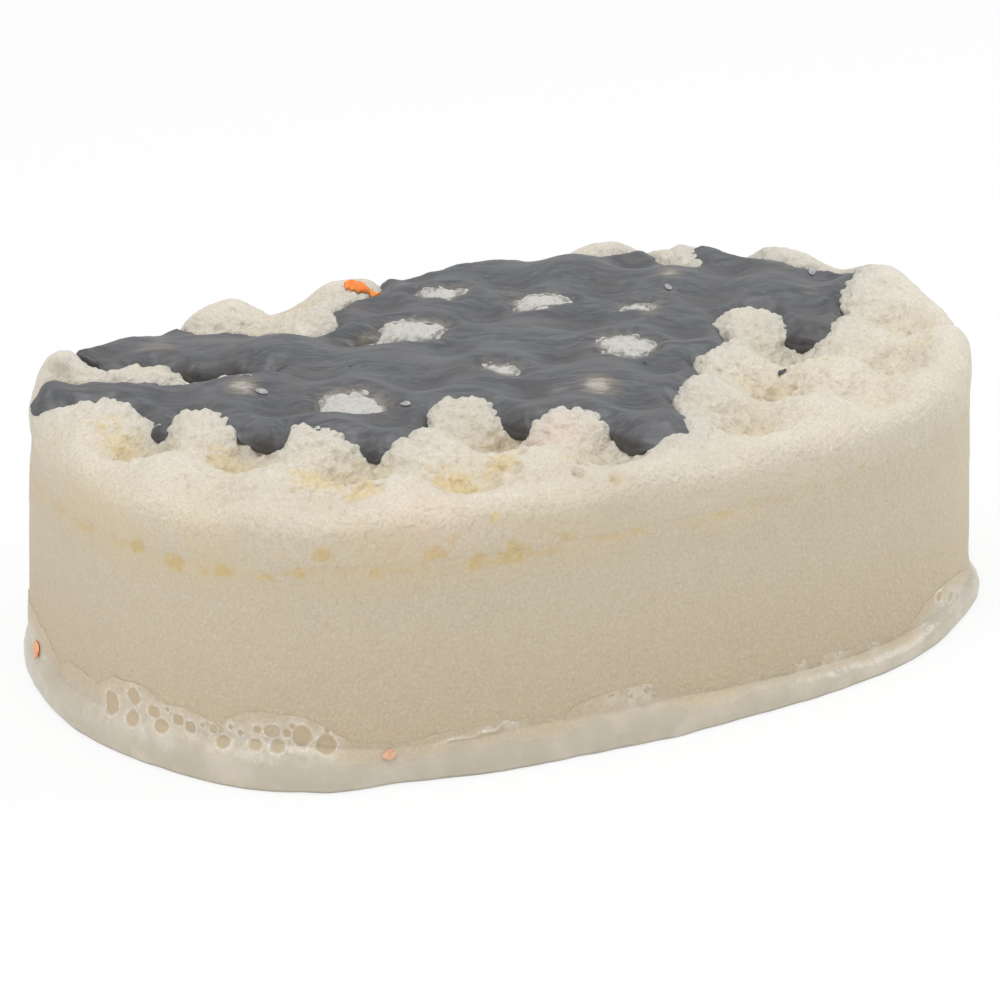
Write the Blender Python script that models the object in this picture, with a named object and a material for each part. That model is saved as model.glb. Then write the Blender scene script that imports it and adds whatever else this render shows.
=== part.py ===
"""Soap sponge: an oval block of convoluted foam soaked with white soap, standing in a thin soap foot.

A sheet of grey soap was poured over its peaks and set there, with a few stray bits of soap stuck on.
Metres, +Z up. The origin is under the middle of the block, at the level that it rests on.
X runs along the block, and -Y is its front.
"""

import math

import bmesh
import bpy
from mathutils import Matrix, Vector
from mathutils.bvhtree import BVHTree

# Foam block, which stands wider at its foot than at its top
foam_length = 0.1290
foam_width = 0.0854
oval_power = 2.6
seam_height = 0.0282
wall_flare = 0.0012
layer_gap = 0.0003

# Peaks and pits of the upper layer
pit_floor = 0.0032
pit_depth = 0.0052
peak_pitch = 0.0145
peak_turn = math.radians(-45.4)
peak_fullness = 1.6
first_peak_x = -0.0044
first_peak_y = -0.0024
shoulder_radius = 0.0036
shoulder_fall_share = 0.45

# White soap that fills the pits near the front wall
rim_fill_width = 0.0120
rim_fill_share = 0.75
rim_level_share = 0.75
rim_back_share = 0.55

# How far single peaks stand above the rest, as shares of the pit depth, by their place in the pattern
peak_lift_shares = {
    (-4, -1): 0.60,
    (-3.8, -1.7): 0.30,
    (-4, 0): 0.04,
    (-3, 0): -0.35,
    (-3, 1): 0.12,
    (-2.55, 1.4): 0.25,
    (-2, 2): 0.10,
    (-1, 0): -0.15,
    (-1, 3): -0.18,
    (0, 1): -0.15,
    (0, 3): 0.12,
    (0, 4): 0.19,
    (1, 1): 0.10,
    (1, 4): -0.08,
    (2, 4): 0.18,
    (3, 3): 0.12,
    (3, 4): 0.95,
    (3.1, 3.3): 0.35,
    (3.45, 3.45): 0.65,
    (4, 2): 0.42,
    (4, 3): 0.55,
}
lift_reach_share = 0.45

# Soap foot
foot_floor = 0.0016
skirt_height = 0.0040
skirt_proud = 0.0007
skirt_edge = 0.0003

# Shape of the skirt's section: height and width, as shares of its own
skirt_section_shares = ((0.10, 1.00), (0.40, 0.96), (0.68, 0.75), (0.90, 0.40), (1.00, 0.00))

# Lobes of the skirt: direction and spread in degrees, then rise and bulge as shares
skirt_lobe_shares = (
    (-178, 12, 0.00, 0.80),
    (-155, 15, 0.45, -1.00),
    (-137, 9, 0.30, 1.20),
    (-129, 4, 0.05, 0.80),
    (-121, 6, 0.10, -1.30),
    (-107, 10, 0.25, -0.40),
    (-92, 6, 0.10, 0.90),
    (-79, 9, 0.00, 0.40),
    (-63, 14, -0.25, 0.90),
    (-44, 9, -0.20, -0.80),
    (0, 18, -0.20, 0.78),
    (88, 30, 0.15, 0.84),
    (148, 12, -0.20, -0.90),
)

# Grey soap sheet
pour_thin = 0.0012
pour_fill_share = 0.50
pour_edge = 0.0004
pour_round = 0.0022
pour_rim_margin = 0.0007
pour_gap = 0.0003

# Outline of the sheet, as shares of the block's half length and half width
pour_outline_shares = (
    (-0.885, 0.525), (-0.92, 0.49), (-0.935, 0.43), (-0.915, 0.36), (-0.86, 0.33), (-0.80, 0.27),
    (-0.78, 0.15), (-0.79, 0.05), (-0.77, 0.00), (-0.73, 0.05), (-0.70, 0.11), (-0.67, 0.07),
    (-0.66, -0.03), (-0.66, -0.12), (-0.635, -0.20), (-0.61, -0.26), (-0.58, -0.23), (-0.55, -0.21),
    (-0.52, -0.27), (-0.49, -0.36), (-0.48, -0.44), (-0.46, -0.475), (-0.43, -0.46), (-0.39, -0.45),
    (-0.34, -0.38), (-0.30, -0.30), (-0.26, -0.26), (-0.21, -0.24), (-0.175, -0.28), (-0.175, -0.38),
    (-0.165, -0.46), (-0.14, -0.50), (-0.10, -0.475), (-0.06, -0.47), (-0.03, -0.54), (-0.02, -0.62),
    (-0.02, -0.69), (0.00, -0.76), (0.04, -0.79), (0.085, -0.81), (0.12, -0.74), (0.15, -0.62),
    (0.17, -0.53), (0.21, -0.50), (0.27, -0.44), (0.31, -0.36), (0.33, -0.27), (0.37, -0.235),
    (0.42, -0.24), (0.465, -0.18), (0.485, -0.09), (0.52, 0.00), (0.58, 0.09), (0.635, 0.10),
    (0.665, 0.04), (0.64, -0.08), (0.61, -0.17), (0.625, -0.22), (0.66, -0.26), (0.71, -0.24),
    (0.77, -0.15), (0.82, -0.04), (0.90, 0.06), (0.94, 0.14), (0.935, 0.24), (0.90, 0.29),
    (0.86, 0.34), (0.84, 0.43), (0.82, 0.55), (0.79, 0.66), (0.75, 0.70), (0.72, 0.64),
    (0.70, 0.56), (0.65, 0.56), (0.65, 0.67), (0.66, 0.76), (0.62, 0.79), (0.55, 0.77),
    (0.49, 0.79), (0.44, 0.88), (0.37, 0.94), (0.27, 0.955), (0.15, 0.965), (0.05, 0.955),
    (0.00, 0.88), (-0.05, 0.79), (-0.11, 0.77), (-0.155, 0.72), (-0.195, 0.66), (-0.215, 0.58),
    (-0.265, 0.53), (-0.31, 0.535), (-0.335, 0.62), (-0.37, 0.71), (-0.42, 0.75), (-0.455, 0.80),
    (-0.48, 0.88), (-0.55, 0.925), (-0.62, 0.91), (-0.69, 0.87), (-0.75, 0.82), (-0.765, 0.75),
    (-0.735, 0.68), (-0.745, 0.58), (-0.71, 0.55), (-0.66, 0.60), (-0.62, 0.62), (-0.59, 0.58),
    (-0.57, 0.51), (-0.53, 0.47), (-0.49, 0.44), (-0.46, 0.38), (-0.44, 0.32), (-0.48, 0.27),
    (-0.54, 0.26), (-0.62, 0.31), (-0.70, 0.355), (-0.76, 0.43), (-0.80, 0.475), (-0.845, 0.50),
)

# Peaks that stand through the sheet: place in the pattern, and radius of the hole as a share of the pitch
pour_hole_shares = (
    (0.0, 2.0, 0.27),
    (-1.0, 2.0, 0.235),
    (1.0, 2.0, 0.165),
    (1.0, 0.85, 0.29),
    (0.05, -0.05, 0.18),
    (-1.0, 0.82, 0.30),
    (-1.30, 0.62, 0.17),
    (-0.96, -1.22, 0.29),
)

# Stray bits of soap
fleck_gap = 0.0003
back_fleck_length = 0.0048
side_fleck_length = 0.0018
foot_fleck_length = 0.0013
crumb_length = 0.0016
drip_length = 0.0022
back_fleck_turn = math.radians(20)
drip_turn = math.radians(-30)
crumb_turn = math.radians(35)
skirt_fleck_turn = math.radians(90)
fleck_width_share = 0.58
fleck_thickness_share = 0.26
fleck_ragged_share = 0.16

# Places of the bits on top, as shares of the half length and half width
back_fleck_shares = (-0.057, 0.825)
drip_shares = (0.474, -0.45)
crumb_shares = ((-0.549, 0.066), (-0.33, -0.23), (0.519, 0.309), (0.87, 0.24))

# Places of the bits beside the skirt: direction in degrees, and a share of the skirt's height
side_fleck_shares = (168, 1.25)
foot_fleck_shares = (-124.3, 0.90)

# Spacing of the mesh
mesh_step = 0.0026
snap_share = 0.3
probe_share = 0.01
shoulder_steps = 3
wall_steps = 6
oval_segments = 96
curve_steps = 2
sharp_angle = math.radians(50)

half_length = foam_length / 2
half_width = foam_width / 2
peak_height = seam_height + pit_floor + pit_depth
lower_bottom = foot_floor + layer_gap
lower_top = seam_height - layer_gap / 2
upper_bottom = seam_height + layer_gap / 2
well_above = peak_height + foam_length
first_peak = Vector((first_peak_x, first_peak_y))
row_u = peak_pitch * Vector((math.cos(peak_turn), math.sin(peak_turn)))
row_v = peak_pitch * Vector((-math.sin(peak_turn), math.cos(peak_turn)))

for old in list(bpy.data.objects):
    bpy.data.objects.remove(old)


def soap_material(name, colour, roughness):
    """A matt or satin finish of one colour."""
    material = bpy.data.materials.new(name)
    material.use_nodes = True
    shader = material.node_tree.nodes["Principled BSDF"]
    shader.inputs["Base Color"].default_value = (*colour, 1)
    shader.inputs["Roughness"].default_value = roughness
    shader.inputs["Metallic"].default_value = 0
    material.diffuse_color = (*colour, 1)
    return material


foot_soap = soap_material("foot_soap", (0.66, 0.59, 0.49), 0.25)
soaked_foam = soap_material("soaked_foam", (0.56, 0.47, 0.34), 0.80)
whitened_foam = soap_material("whitened_foam", (0.76, 0.69, 0.56), 0.75)
grey_soap = soap_material("grey_soap", (0.14, 0.145, 0.152), 0.35)
orange_soap = soap_material("orange_soap", (0.95, 0.30, 0.08), 0.50)
white_soap = soap_material("white_soap", (0.72, 0.71, 0.67), 0.45)


def finish(name, bm, material):
    """Puts a finished mesh in the scene as the named piece, with its faces out."""
    bmesh.ops.recalc_face_normals(bm, faces=bm.faces)
    if bm.calc_volume(signed=True) < 0:
        bmesh.ops.reverse_faces(bm, faces=bm.faces)
    mesh = bpy.data.meshes.new(name)
    bm.to_mesh(mesh)
    bm.free()
    mesh.shade_smooth()
    mesh.set_sharp_from_angle(angle=sharp_angle)
    mesh.materials.append(material)
    piece = bpy.data.objects.new(name, mesh)
    bpy.context.scene.collection.objects.link(piece)
    return piece


def new_verts(grown):
    """The vertices that an extrusion made."""
    return [item for item in grown["geom"] if isinstance(item, bmesh.types.BMVert)]


def oval_norm(x, y):
    """1 on an oval of unit half axes, less inside it."""
    return (abs(x) ** oval_power + abs(y) ** oval_power) ** (1 / oval_power)


def inset_at(x, y):
    """How far in from the wall the oval through this place lies."""
    low, high = 0.0, min(half_length, half_width)
    for _ in range(40):
        inset = (low + high) / 2
        if oval_norm(x / (half_length - inset), y / (half_width - inset)) < 1:
            low = inset
        else:
            high = inset
    return low


def smooth(t):
    """Eases from 0 to 1."""
    t = min(max(t, 0), 1)
    return t * t * (3 - 2 * t)


def peak_at(i, j):
    """Plan place of one peak of the pattern."""
    return first_peak + i * row_u + j * row_v


def peak_share(x, y):
    """0 at the bottom of a pit, 1 on a peak."""
    place = Vector((x, y)) - first_peak
    i = place.dot(row_u) / peak_pitch**2
    j = place.dot(row_v) / peak_pitch**2
    wave = (math.cos(math.tau * i) + math.cos(math.tau * j) + 2) / 4
    return 1 - (1 - wave) ** peak_fullness


def lift_at(x, y):
    """Height that the taller and shorter peaks add here."""
    total = 0.0
    for (i, j), share in peak_lift_shares.items():
        away = (Vector((x, y)) - peak_at(i, j)).length / (lift_reach_share * peak_pitch)
        total += share * pit_depth * math.exp(-(away**2))
    return total


def relief_share(x, y):
    """The peaks and pits, softer near the front wall, where white soap fills them."""
    front = smooth((rim_back_share - y / half_width) / (2 * rim_back_share))
    fill = (1 - smooth(inset_at(x, y) / rim_fill_width)) * rim_fill_share * front
    return peak_share(x, y) * (1 - fill) + rim_level_share * fill


def foam_top(x, y):
    """Height of the foam, which rounds down over its shoulder at the wall."""
    height = pit_floor + pit_depth * relief_share(x, y) + lift_at(x, y)
    over = max(1 - inset_at(x, y) / shoulder_radius, 0)
    fall = shoulder_fall_share * (1 - math.sqrt(max(1 - over**2, 0)))
    return seam_height + height * (1 - fall)


def rounded(corners, steps):
    """The closed outline through these corners as a smooth curve."""
    places = []
    count = len(corners)
    for number in range(count):
        before, start, end, after = (corners[(number + k - 1) % count] for k in range(4))
        for step in range(steps):
            t = step / steps
            bend = (2 * before - 5 * start + 4 * end - after) * t
            bend += (3 * start - 3 * end + after - before) * t * t
            places.append(start + (end - before + bend) * t / 2)
    return places


def signed_distance(place, corners):
    """Distance from a closed outline: positive inside, negative outside."""
    nearest = math.inf
    inside = False
    previous = corners[-1]
    for corner in corners:
        side = corner - previous
        share = min(max((place - previous).dot(side) / side.length_squared, 0), 1)
        nearest = min(nearest, (place - previous - share * side).length)
        if (corner.y > place.y) != (previous.y > place.y):
            crossing = corner.x + (place.y - corner.y) / (previous.y - corner.y) * (previous.x - corner.x)
            inside ^= place.x < crossing
        previous = corner
    return nearest if inside else -nearest


pour_places = [Vector((x * half_length, y * half_width)) for x, y in pour_outline_shares]
pour_corners = rounded(pour_places, curve_steps)
pour_holes = [(peak_at(i, j), share * peak_pitch) for i, j, share in pour_hole_shares]


def pour_inset(x, y):
    """How far inside the grey sheet this place lies: negative outside it and in its holes."""
    place = Vector((x, y))
    nearest = min(signed_distance(place, pour_corners), inset_at(x, y) - pour_rim_margin)
    for middle, radius in pour_holes:
        nearest = min(nearest, (place - middle).length - radius)
    return nearest


def pour_top(x, y):
    """Height of the sheet: thin on the peaks, thick over the pits, rounded at its edge."""
    full = pour_thin + pour_fill_share * pit_depth * (1 - relief_share(x, y))
    over = max(1 - max(pour_inset(x, y), 0) / pour_round, 0)
    thickness = pour_edge + (full - pour_edge) * math.sqrt(max(1 - over**2, 0))
    return foam_top(x, y) + pour_gap + thickness


def plan_mesh():
    """The block's plan: a grid drawn out to the oval, with rings over the shoulder."""
    bm = bmesh.new()
    inner_length = half_length - shoulder_radius
    inner_width = half_width - shoulder_radius
    columns = round(2 * inner_length / mesh_step)
    rows = round(2 * inner_width / mesh_step)
    bmesh.ops.create_grid(bm, x_segments=columns, y_segments=rows, size=1)
    for vert in bm.verts:
        reach = max(abs(vert.co.x), abs(vert.co.y))
        drawn_in = 1 if reach == 0 else 1 + (reach / oval_norm(vert.co.x, vert.co.y) - 1) * reach
        vert.co.x *= drawn_in * inner_length
        vert.co.y *= drawn_in * inner_width
    length, width = inner_length, inner_width
    for step in range(1, shoulder_steps + 1):
        inset = shoulder_radius * (1 - math.sin(math.pi / 2 * step / shoulder_steps))
        border = [edge for edge in bm.edges if edge.is_boundary]
        ring = new_verts(bmesh.ops.extrude_edge_only(bm, edges=border))
        scale = Vector(((half_length - inset) / length, (half_width - inset) / width, 1))
        bmesh.ops.scale(bm, vec=scale, verts=ring)
        length, width = half_length - inset, half_width - inset
    bmesh.ops.triangulate(bm, faces=bm.faces)
    return bm


def move_to_pour_edge(vert):
    """Moves a vertex that lies near the sheet's edge onto it, and returns how far off it still is."""
    probe = probe_share * mesh_step
    for _ in range(3):
        x, y = vert.co.x, vert.co.y
        here = pour_inset(x, y)
        slope = Vector((pour_inset(x + probe, y) - here, pour_inset(x, y + probe) - here, 0)) / probe
        vert.co -= slope * here / max(slope.length_squared, 1)
    left = pour_inset(vert.co.x, vert.co.y)
    return 0.0 if abs(left) < probe else left


def cut_along_pour(bm):
    """Draws the sheet's edge into the plan, and returns the faces that the sheet covers."""
    inset = {vert: pour_inset(vert.co.x, vert.co.y) for vert in bm.verts}
    for vert in bm.verts:
        if abs(inset[vert]) < snap_share * mesh_step and not vert.is_boundary:
            inset[vert] = move_to_pour_edge(vert)
    for edge in list(bm.edges):
        first, second = edge.verts
        if inset[first] * inset[second] < 0:
            share = inset[first] / (inset[first] - inset[second])
            added = bmesh.utils.edge_split(edge, first, share)[1]
            inset[added] = 0.0
    on_edge = [vert for vert in bm.verts if inset[vert] == 0]
    bmesh.ops.connect_verts(bm, verts=on_edge)
    bmesh.ops.triangulate(bm, faces=bm.faces)
    covered = {face for face in bm.faces if sum(inset[vert] for vert in face.verts) > 0}
    pinched = True
    while pinched:
        pinched = False
        for vert in on_edge:
            border = [edge for edge in vert.link_edges if len(covered.intersection(edge.link_faces)) == 1]
            if len(border) > 2:
                covered.difference_update(vert.link_faces)
                pinched = True
    return largest_patch(covered)


def largest_patch(faces):
    """The largest group of faces that hang together along edges."""
    left = set(faces)
    best = set()
    while left:
        patch = {left.pop()}
        front = list(patch)
        while front:
            for edge in front.pop().edges:
                for face in left.intersection(edge.link_faces):
                    left.remove(face)
                    patch.add(face)
                    front.append(face)
        if len(patch) > len(best):
            best = patch
    return best


def upper_foam_layer(plan):
    """The convoluted layer: peaks and pits on top, a short wall, and a flat underside at the seam."""
    bm = plan.copy()
    for vert in bm.verts:
        vert.co.z = foam_top(vert.co.x, vert.co.y)
    rim = [edge for edge in bm.edges if edge.is_boundary]
    for vert in new_verts(bmesh.ops.extrude_edge_only(bm, edges=rim)):
        vert.co.z = upper_bottom
    bmesh.ops.holes_fill(bm, edges=[edge for edge in bm.edges if edge.is_boundary], sides=0)
    return finish("upper_foam_layer", bm, whitened_foam)


def grey_soap_topping(plan, covered):
    """The poured sheet: it follows the foam below it, with the small gap of touching pieces."""
    kept = {face.index for face in covered}
    bm = plan.copy()
    bm.faces.ensure_lookup_table()
    bare = [face for face in bm.faces if face.index not in kept]
    bmesh.ops.delete(bm, geom=bare, context="FACES")
    for vert in bm.verts:
        vert.co.z = foam_top(vert.co.x, vert.co.y) + pour_gap
    for vert in new_verts(bmesh.ops.extrude_face_region(bm, geom=list(bm.faces))):
        vert.co.z = pour_top(vert.co.x, vert.co.y)
    return finish("grey_soap_topping", bm, grey_soap)


def loft(name, rings, material):
    """A closed solid through oval rings: each is a function from a direction to outset and height."""
    bm = bmesh.new()
    bmesh.ops.create_circle(bm, cap_ends=True, radius=1, segments=oval_segments)
    heading = bm.verts.layers.float.new("heading")
    for vert in bm.verts:
        vert[heading] = math.atan2(vert.co.y, vert.co.x)
    cap = list(bm.faces)[0]
    for number, ring in enumerate(rings):
        if number > 0:
            below = cap
            grown = bmesh.ops.extrude_face_region(bm, geom=[below])
            cap = next(item for item in grown["geom"] if isinstance(item, bmesh.types.BMFace))
            if number > 1:
                bmesh.ops.delete(bm, geom=[below], context="FACES_ONLY")
        for vert in cap.verts:
            way = vert[heading]
            size = oval_norm(math.cos(way), math.sin(way))
            outset, height = ring(way)
            vert.co.x = math.cos(way) / size * (half_length + outset)
            vert.co.y = math.sin(way) / size * (half_width + outset)
            vert.co.z = height
    return finish(name, bm, material)


def wall_outset(height):
    """How far the flared wall stands out at this height."""
    return wall_flare * (1 - height / seam_height)


def lower_foam_layer():
    """The soaked layer: a plain block whose wall spreads towards its foot."""

    def at(height):
        return lambda way: (wall_outset(height), height)

    lift = (lower_top - lower_bottom) / wall_steps
    rings = [at(lower_bottom + step * lift) for step in range(wall_steps + 1)]
    return loft("lower_foam_layer", rings, soaked_foam)


def skirt_at(way):
    """Height of the skirt and how far it stands out from the wall, in this direction."""
    rise, bulge = 1.0, 1.0
    for middle, spread, more_rise, more_bulge in skirt_lobe_shares:
        away = math.remainder(way - math.radians(middle), math.tau) / math.radians(spread)
        rise += more_rise * math.exp(-(away**2))
        bulge += more_bulge * math.exp(-(away**2))
    return skirt_height * rise, skirt_proud * max(bulge, 0)


def soap_foot():
    """The squeezed-out soap: a thin floor under the block and a low skirt round its wall."""

    def outside(height_share, width_share):
        def ring(way):
            height, proud = skirt_at(way)
            start = wall_outset(height) + layer_gap + skirt_edge
            foot = wall_outset(0) + layer_gap + skirt_edge + proud
            return start + (foot - start) * width_share, height * height_share

        return ring

    def underside(way):
        return outside(0, 1)(way)[0] - skirt_edge, 0

    def inside_top(way):
        height = skirt_at(way)[0]
        return wall_outset(height) + layer_gap, height

    def inside_floor(way):
        return wall_outset(foot_floor) + layer_gap, foot_floor

    rings = [underside]
    rings += [outside(*shares) for shares in skirt_section_shares]
    rings += [inside_top, inside_floor]
    return loft("soap_foot", rings, foot_soap)


def fleck(name, carriers, start, towards, length, turn, material):
    """A thin bit of soap that lies on its carriers, found along a line from start."""
    bm = bmesh.new()
    bmesh.ops.create_icosphere(bm, subdivisions=2, radius=1)
    graph = bpy.context.evaluated_depsgraph_get()
    surfaces = [BVHTree.FromObject(carrier, graph) for carrier in carriers]
    frame = towards.to_track_quat("Z", "Y").to_matrix() @ Matrix.Rotation(turn, 3, "Z")

    def depth(place):
        found = [surface.ray_cast(place, towards)[3] for surface in surfaces]
        return min(away for away in found if away is not None)

    thickness = fleck_thickness_share * length
    for vert in bm.verts:
        waves = math.sin(3 * vert.co.x + 2 * vert.co.y) * math.cos(4 * vert.co.y - vert.co.x)
        ragged = 1 + fleck_ragged_share * waves
        across = vert.co.x * ragged * length / 2
        along = vert.co.y * ragged * length * fleck_width_share / 2
        place = start + frame @ Vector((across, along, 0))
        rise = fleck_gap + thickness * (1 - vert.co.z) / 2
        vert.co = place + towards * (depth(place) - rise)
    return finish(name, bm, material)


def on_top(share_x, share_y):
    """A start above a place on the block's top."""
    return Vector((share_x * half_length, share_y * half_width, well_above))


def beside_skirt(way, share):
    """A start outside the skirt, level with a share of its height, and the way in."""
    way = math.radians(way)
    out = Vector((math.cos(way), math.sin(way), 0))
    size = oval_norm(out.x, out.y)
    height = skirt_at(way)[0] * share
    wall = Vector((out.x / size * half_length, out.y / size * half_width, height))
    return wall + out * foam_width, -out


plan = plan_mesh()
covered = cut_along_pour(plan)
plan.faces.index_update()
foam = upper_foam_layer(plan)
topping = grey_soap_topping(plan, covered)
plan.free()
block = lower_foam_layer()
foot = soap_foot()
bpy.context.view_layer.update()

down = Vector((0, 0, -1))
tops = [foam, topping]
back_start = on_top(*back_fleck_shares)
fleck("orange_fleck_back", tops, back_start, down, back_fleck_length, back_fleck_turn, orange_soap)
fleck("grey_soap_drip", tops, on_top(*drip_shares), down, drip_length, drip_turn, grey_soap)
for number, shares in enumerate(crumb_shares, start=1):
    name = f"white_soap_crumb_{number}"
    fleck(name, tops, on_top(*shares), down, crumb_length, number * crumb_turn, white_soap)
for name, shares, length in (
    ("orange_fleck_side", side_fleck_shares, side_fleck_length),
    ("orange_fleck_foot", foot_fleck_shares, foot_fleck_length),
):
    start, way_in = beside_skirt(*shares)
    fleck(name, [foot, block], start, way_in, length, skirt_fleck_turn, orange_soap)
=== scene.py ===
# %% [markdown]
# A soap sponge, dressed around its solids.
# The real thing is an oval block of bath foam. Its upper layer is convoluted: it was cut into rows
# of soft peaks and pits. The block was soaked with melted white soap, which drained down, set as a
# thin foot round the base, and left the peaks whiter than the soaked wall below. Then a ladle of
# grey soap was poured over the peaks.
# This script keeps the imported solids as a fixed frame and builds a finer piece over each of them.
# It reads nothing but that frame, so each size of the block is repeated here in metres.

# %% The frame
import math

import bmesh
import bpy
import numpy as np
from mathutils import Matrix, Vector, noise
from mathutils.bvhtree import BVHTree


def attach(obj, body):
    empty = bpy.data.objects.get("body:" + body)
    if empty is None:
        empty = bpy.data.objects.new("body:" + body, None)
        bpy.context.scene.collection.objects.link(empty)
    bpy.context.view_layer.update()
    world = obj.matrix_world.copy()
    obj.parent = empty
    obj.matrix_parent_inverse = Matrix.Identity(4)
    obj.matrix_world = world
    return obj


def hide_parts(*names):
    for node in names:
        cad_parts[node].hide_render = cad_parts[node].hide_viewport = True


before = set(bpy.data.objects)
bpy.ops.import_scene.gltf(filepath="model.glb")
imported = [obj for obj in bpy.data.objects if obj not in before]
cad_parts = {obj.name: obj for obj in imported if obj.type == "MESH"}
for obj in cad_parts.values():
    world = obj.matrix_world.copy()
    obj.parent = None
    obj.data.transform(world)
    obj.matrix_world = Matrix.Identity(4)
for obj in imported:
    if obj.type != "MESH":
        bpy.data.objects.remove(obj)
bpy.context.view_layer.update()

mm = 0.001
print("solids in the frame:", ", ".join(sorted(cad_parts)))

# %% [markdown]
# Sizes of the block.
# They are the ones that the solids were built from, so that the finer pieces lie on them. The plan is
# a superellipse, a rounder rectangle than an oval: |x/a|^n + |y/b|^n = 1, n = 2.6.

# %% Sizes of the block
foam_length, foam_width, oval_power = 129.0 * mm, 85.4 * mm, 2.6
seam_height, wall_flare, layer_gap = 28.2 * mm, 1.2 * mm, 0.3 * mm
pit_floor, pit_depth = 3.2 * mm, 5.2 * mm
peak_pitch, peak_turn, peak_fullness = 14.5 * mm, math.radians(-45.4), 1.6
first_peak = np.array((-4.4, -2.4)) * mm
shoulder_radius, shoulder_fall_share = 3.6 * mm, 0.45
rim_fill_width, rim_fill_share, rim_level_share, rim_back_share = 12.0 * mm, 0.75, 0.75, 0.55
lift_reach_share = 0.45
half_length, half_width = foam_length / 2, foam_width / 2
row_u = peak_pitch * np.array((math.cos(peak_turn), math.sin(peak_turn)))
row_v = peak_pitch * np.array((-math.sin(peak_turn), math.cos(peak_turn)))
print("block:", round(foam_length / mm), "x", round(foam_width / mm, 1), "mm at its top")

# %% [markdown]
# Peaks and places that differ.
# Foam is never quite even. A peak is named by its place in the pattern, with how much higher it
# stands as a share of the pits' depth. A few other places have sunk or swelled a little with the
# soap: they are given by x, y, reach and rise in millimetres. Adding a soft hump to one height
# keeps everything that is built on that height in step.

# %% Peaks that stand above or below the rest
peak_lifts = {
    (-4, -1): 0.60, (-3.8, -1.7): 0.30, (-4, 0): 0.04, (-3, 0): -0.35, (-3, 1): 0.12,
    (-2.55, 1.4): 0.25, (-2, 2): 0.10, (-1, 0): -0.15, (-1, 3): -0.18, (0, 1): -0.15,
    (0, 3): 0.12, (0, 4): 0.19, (1, 1): 0.10, (1, 4): -0.08, (2, 4): 0.18, (3, 3): 0.12,
    (3, 4): 0.95, (3.1, 3.3): 0.35, (3.45, 3.45): 0.65, (4, 2): 0.42, (4, 3): 0.55,
}
settled = (
    (-33.0, 35.0, 5.0, -1.0), (60.6, 8.5, 4.0, -1.3), (-0.5, 36.5, 3.0, -0.9), (-57.0, 21.0, 5.0, 0.9),
)
print(len(peak_lifts), "peaks differ from the pattern,", len(settled), "places have settled a little more")

# %% [markdown]
# The camera.
# It stands where the photographer stood: about 45 cm away, 21 degrees above the table and 30
# degrees to the left of the block's front. A long lens keeps the block's sides nearly parallel.
# It is aimed a hair off the block's middle, so no shift is needed to frame the object.

# %% Camera
camera_turn, camera_rise = math.radians(-30.34), math.radians(20.93)
camera_away, camera_height, camera_lens = 450.0 * mm, 20.0 * mm, 120.11
back = Vector((
    math.sin(camera_turn) * math.cos(camera_rise),
    -math.cos(camera_turn) * math.cos(camera_rise),
    math.sin(camera_rise),
))
right = Vector((math.cos(camera_turn), math.sin(camera_turn), 0))
place = back * camera_away + Vector((0, 0, camera_height))
aim = Vector((0, 0, camera_height)) - 1.376 * mm * right - 3.63 * mm * back.cross(right)
camera = bpy.data.objects.new("camera", bpy.data.cameras.new("camera"))
camera.data.lens = camera_lens
camera.data.sensor_width = 36
camera.location = place
camera.rotation_euler = (aim - place).to_track_quat("-Z", "Y").to_euler()
bpy.context.scene.collection.objects.link(camera)
bpy.context.scene.camera = camera
print("camera at", [round(v, 3) for v in camera.location])

# %% [markdown]
# Shader maths as plain expressions.
# A material is a graph of nodes. Written one node at a time it is hard to read, so a small class
# wraps a socket: a sum or product with it adds the Math node. Another class holds a material that
# is being made, and has one method for every other kind of node.

# %% Shader helpers
class Value:
    """A number that changes over a surface. Sums and products with it add Math nodes."""

    def __init__(self, finish, socket):
        self.finish = finish
        self.socket = socket

    def math(self, operation, first, second=0.0):
        settings = {"operation": operation}
        return self.finish.node("ShaderNodeMath", settings, {0: first, 1: second})

    def __add__(self, other):
        return self.math("ADD", self, other)

    def __sub__(self, other):
        return self.math("SUBTRACT", self, other)

    def __rsub__(self, other):
        return self.math("SUBTRACT", other, self)

    def __mul__(self, other):
        return self.math("MULTIPLY", self, other)

    __radd__ = __add__
    __rmul__ = __mul__


class Finish:
    """A material that is being made."""

    def __init__(self, name):
        self.material = bpy.data.materials.new(name)
        self.material.use_nodes = True
        self.tree = self.material.node_tree
        self.shader = self.tree.nodes["Principled BSDF"]
        self.coords = self.node("ShaderNodeTexCoord", out="Object")

    def node(self, kind, settings=None, sockets=None, out=0):
        made = self.tree.nodes.new(kind)
        for name, value in (settings or {}).items():
            setattr(made, name, value)
        for name, value in (sockets or {}).items():
            self.put(made.inputs[name], value)
        return Value(self, made.outputs[out])

    def put(self, socket, value):
        if isinstance(value, Value):
            self.tree.links.new(value.socket, socket)
        else:
            socket.default_value = value

    def set(self, **sockets):
        for name, value in sockets.items():
            self.put(self.shader.inputs[name.replace("_", " ")], value)
        return self.material


print("shader helpers ready")

# %% [markdown]
# A few words for finishes.
# Colours are written as they look on a screen, from 0 to 255, and turned to the linear values that
# the shader wants. Ramp, noise, cells and painted are the four kinds of pattern used below.
# Painted reads an attribute: a number that the script worked out for each vertex of a piece.

# %% Patterns
def tone(red, green, blue):
    """A screen colour as linear light."""
    shares = [v / 255 for v in (red, green, blue)]
    return tuple(v / 12.92 if v <= 0.04045 else ((v + 0.055) / 1.055) ** 2.4 for v in shares) + (1,)


def mix(finish, share, first, second):
    """The first colour where share is 0, the second where it is 1."""
    settings = {"data_type": "RGBA"}
    return finish.node("ShaderNodeMix", settings, {0: share, 6: first, 7: second}, out=2)


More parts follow.
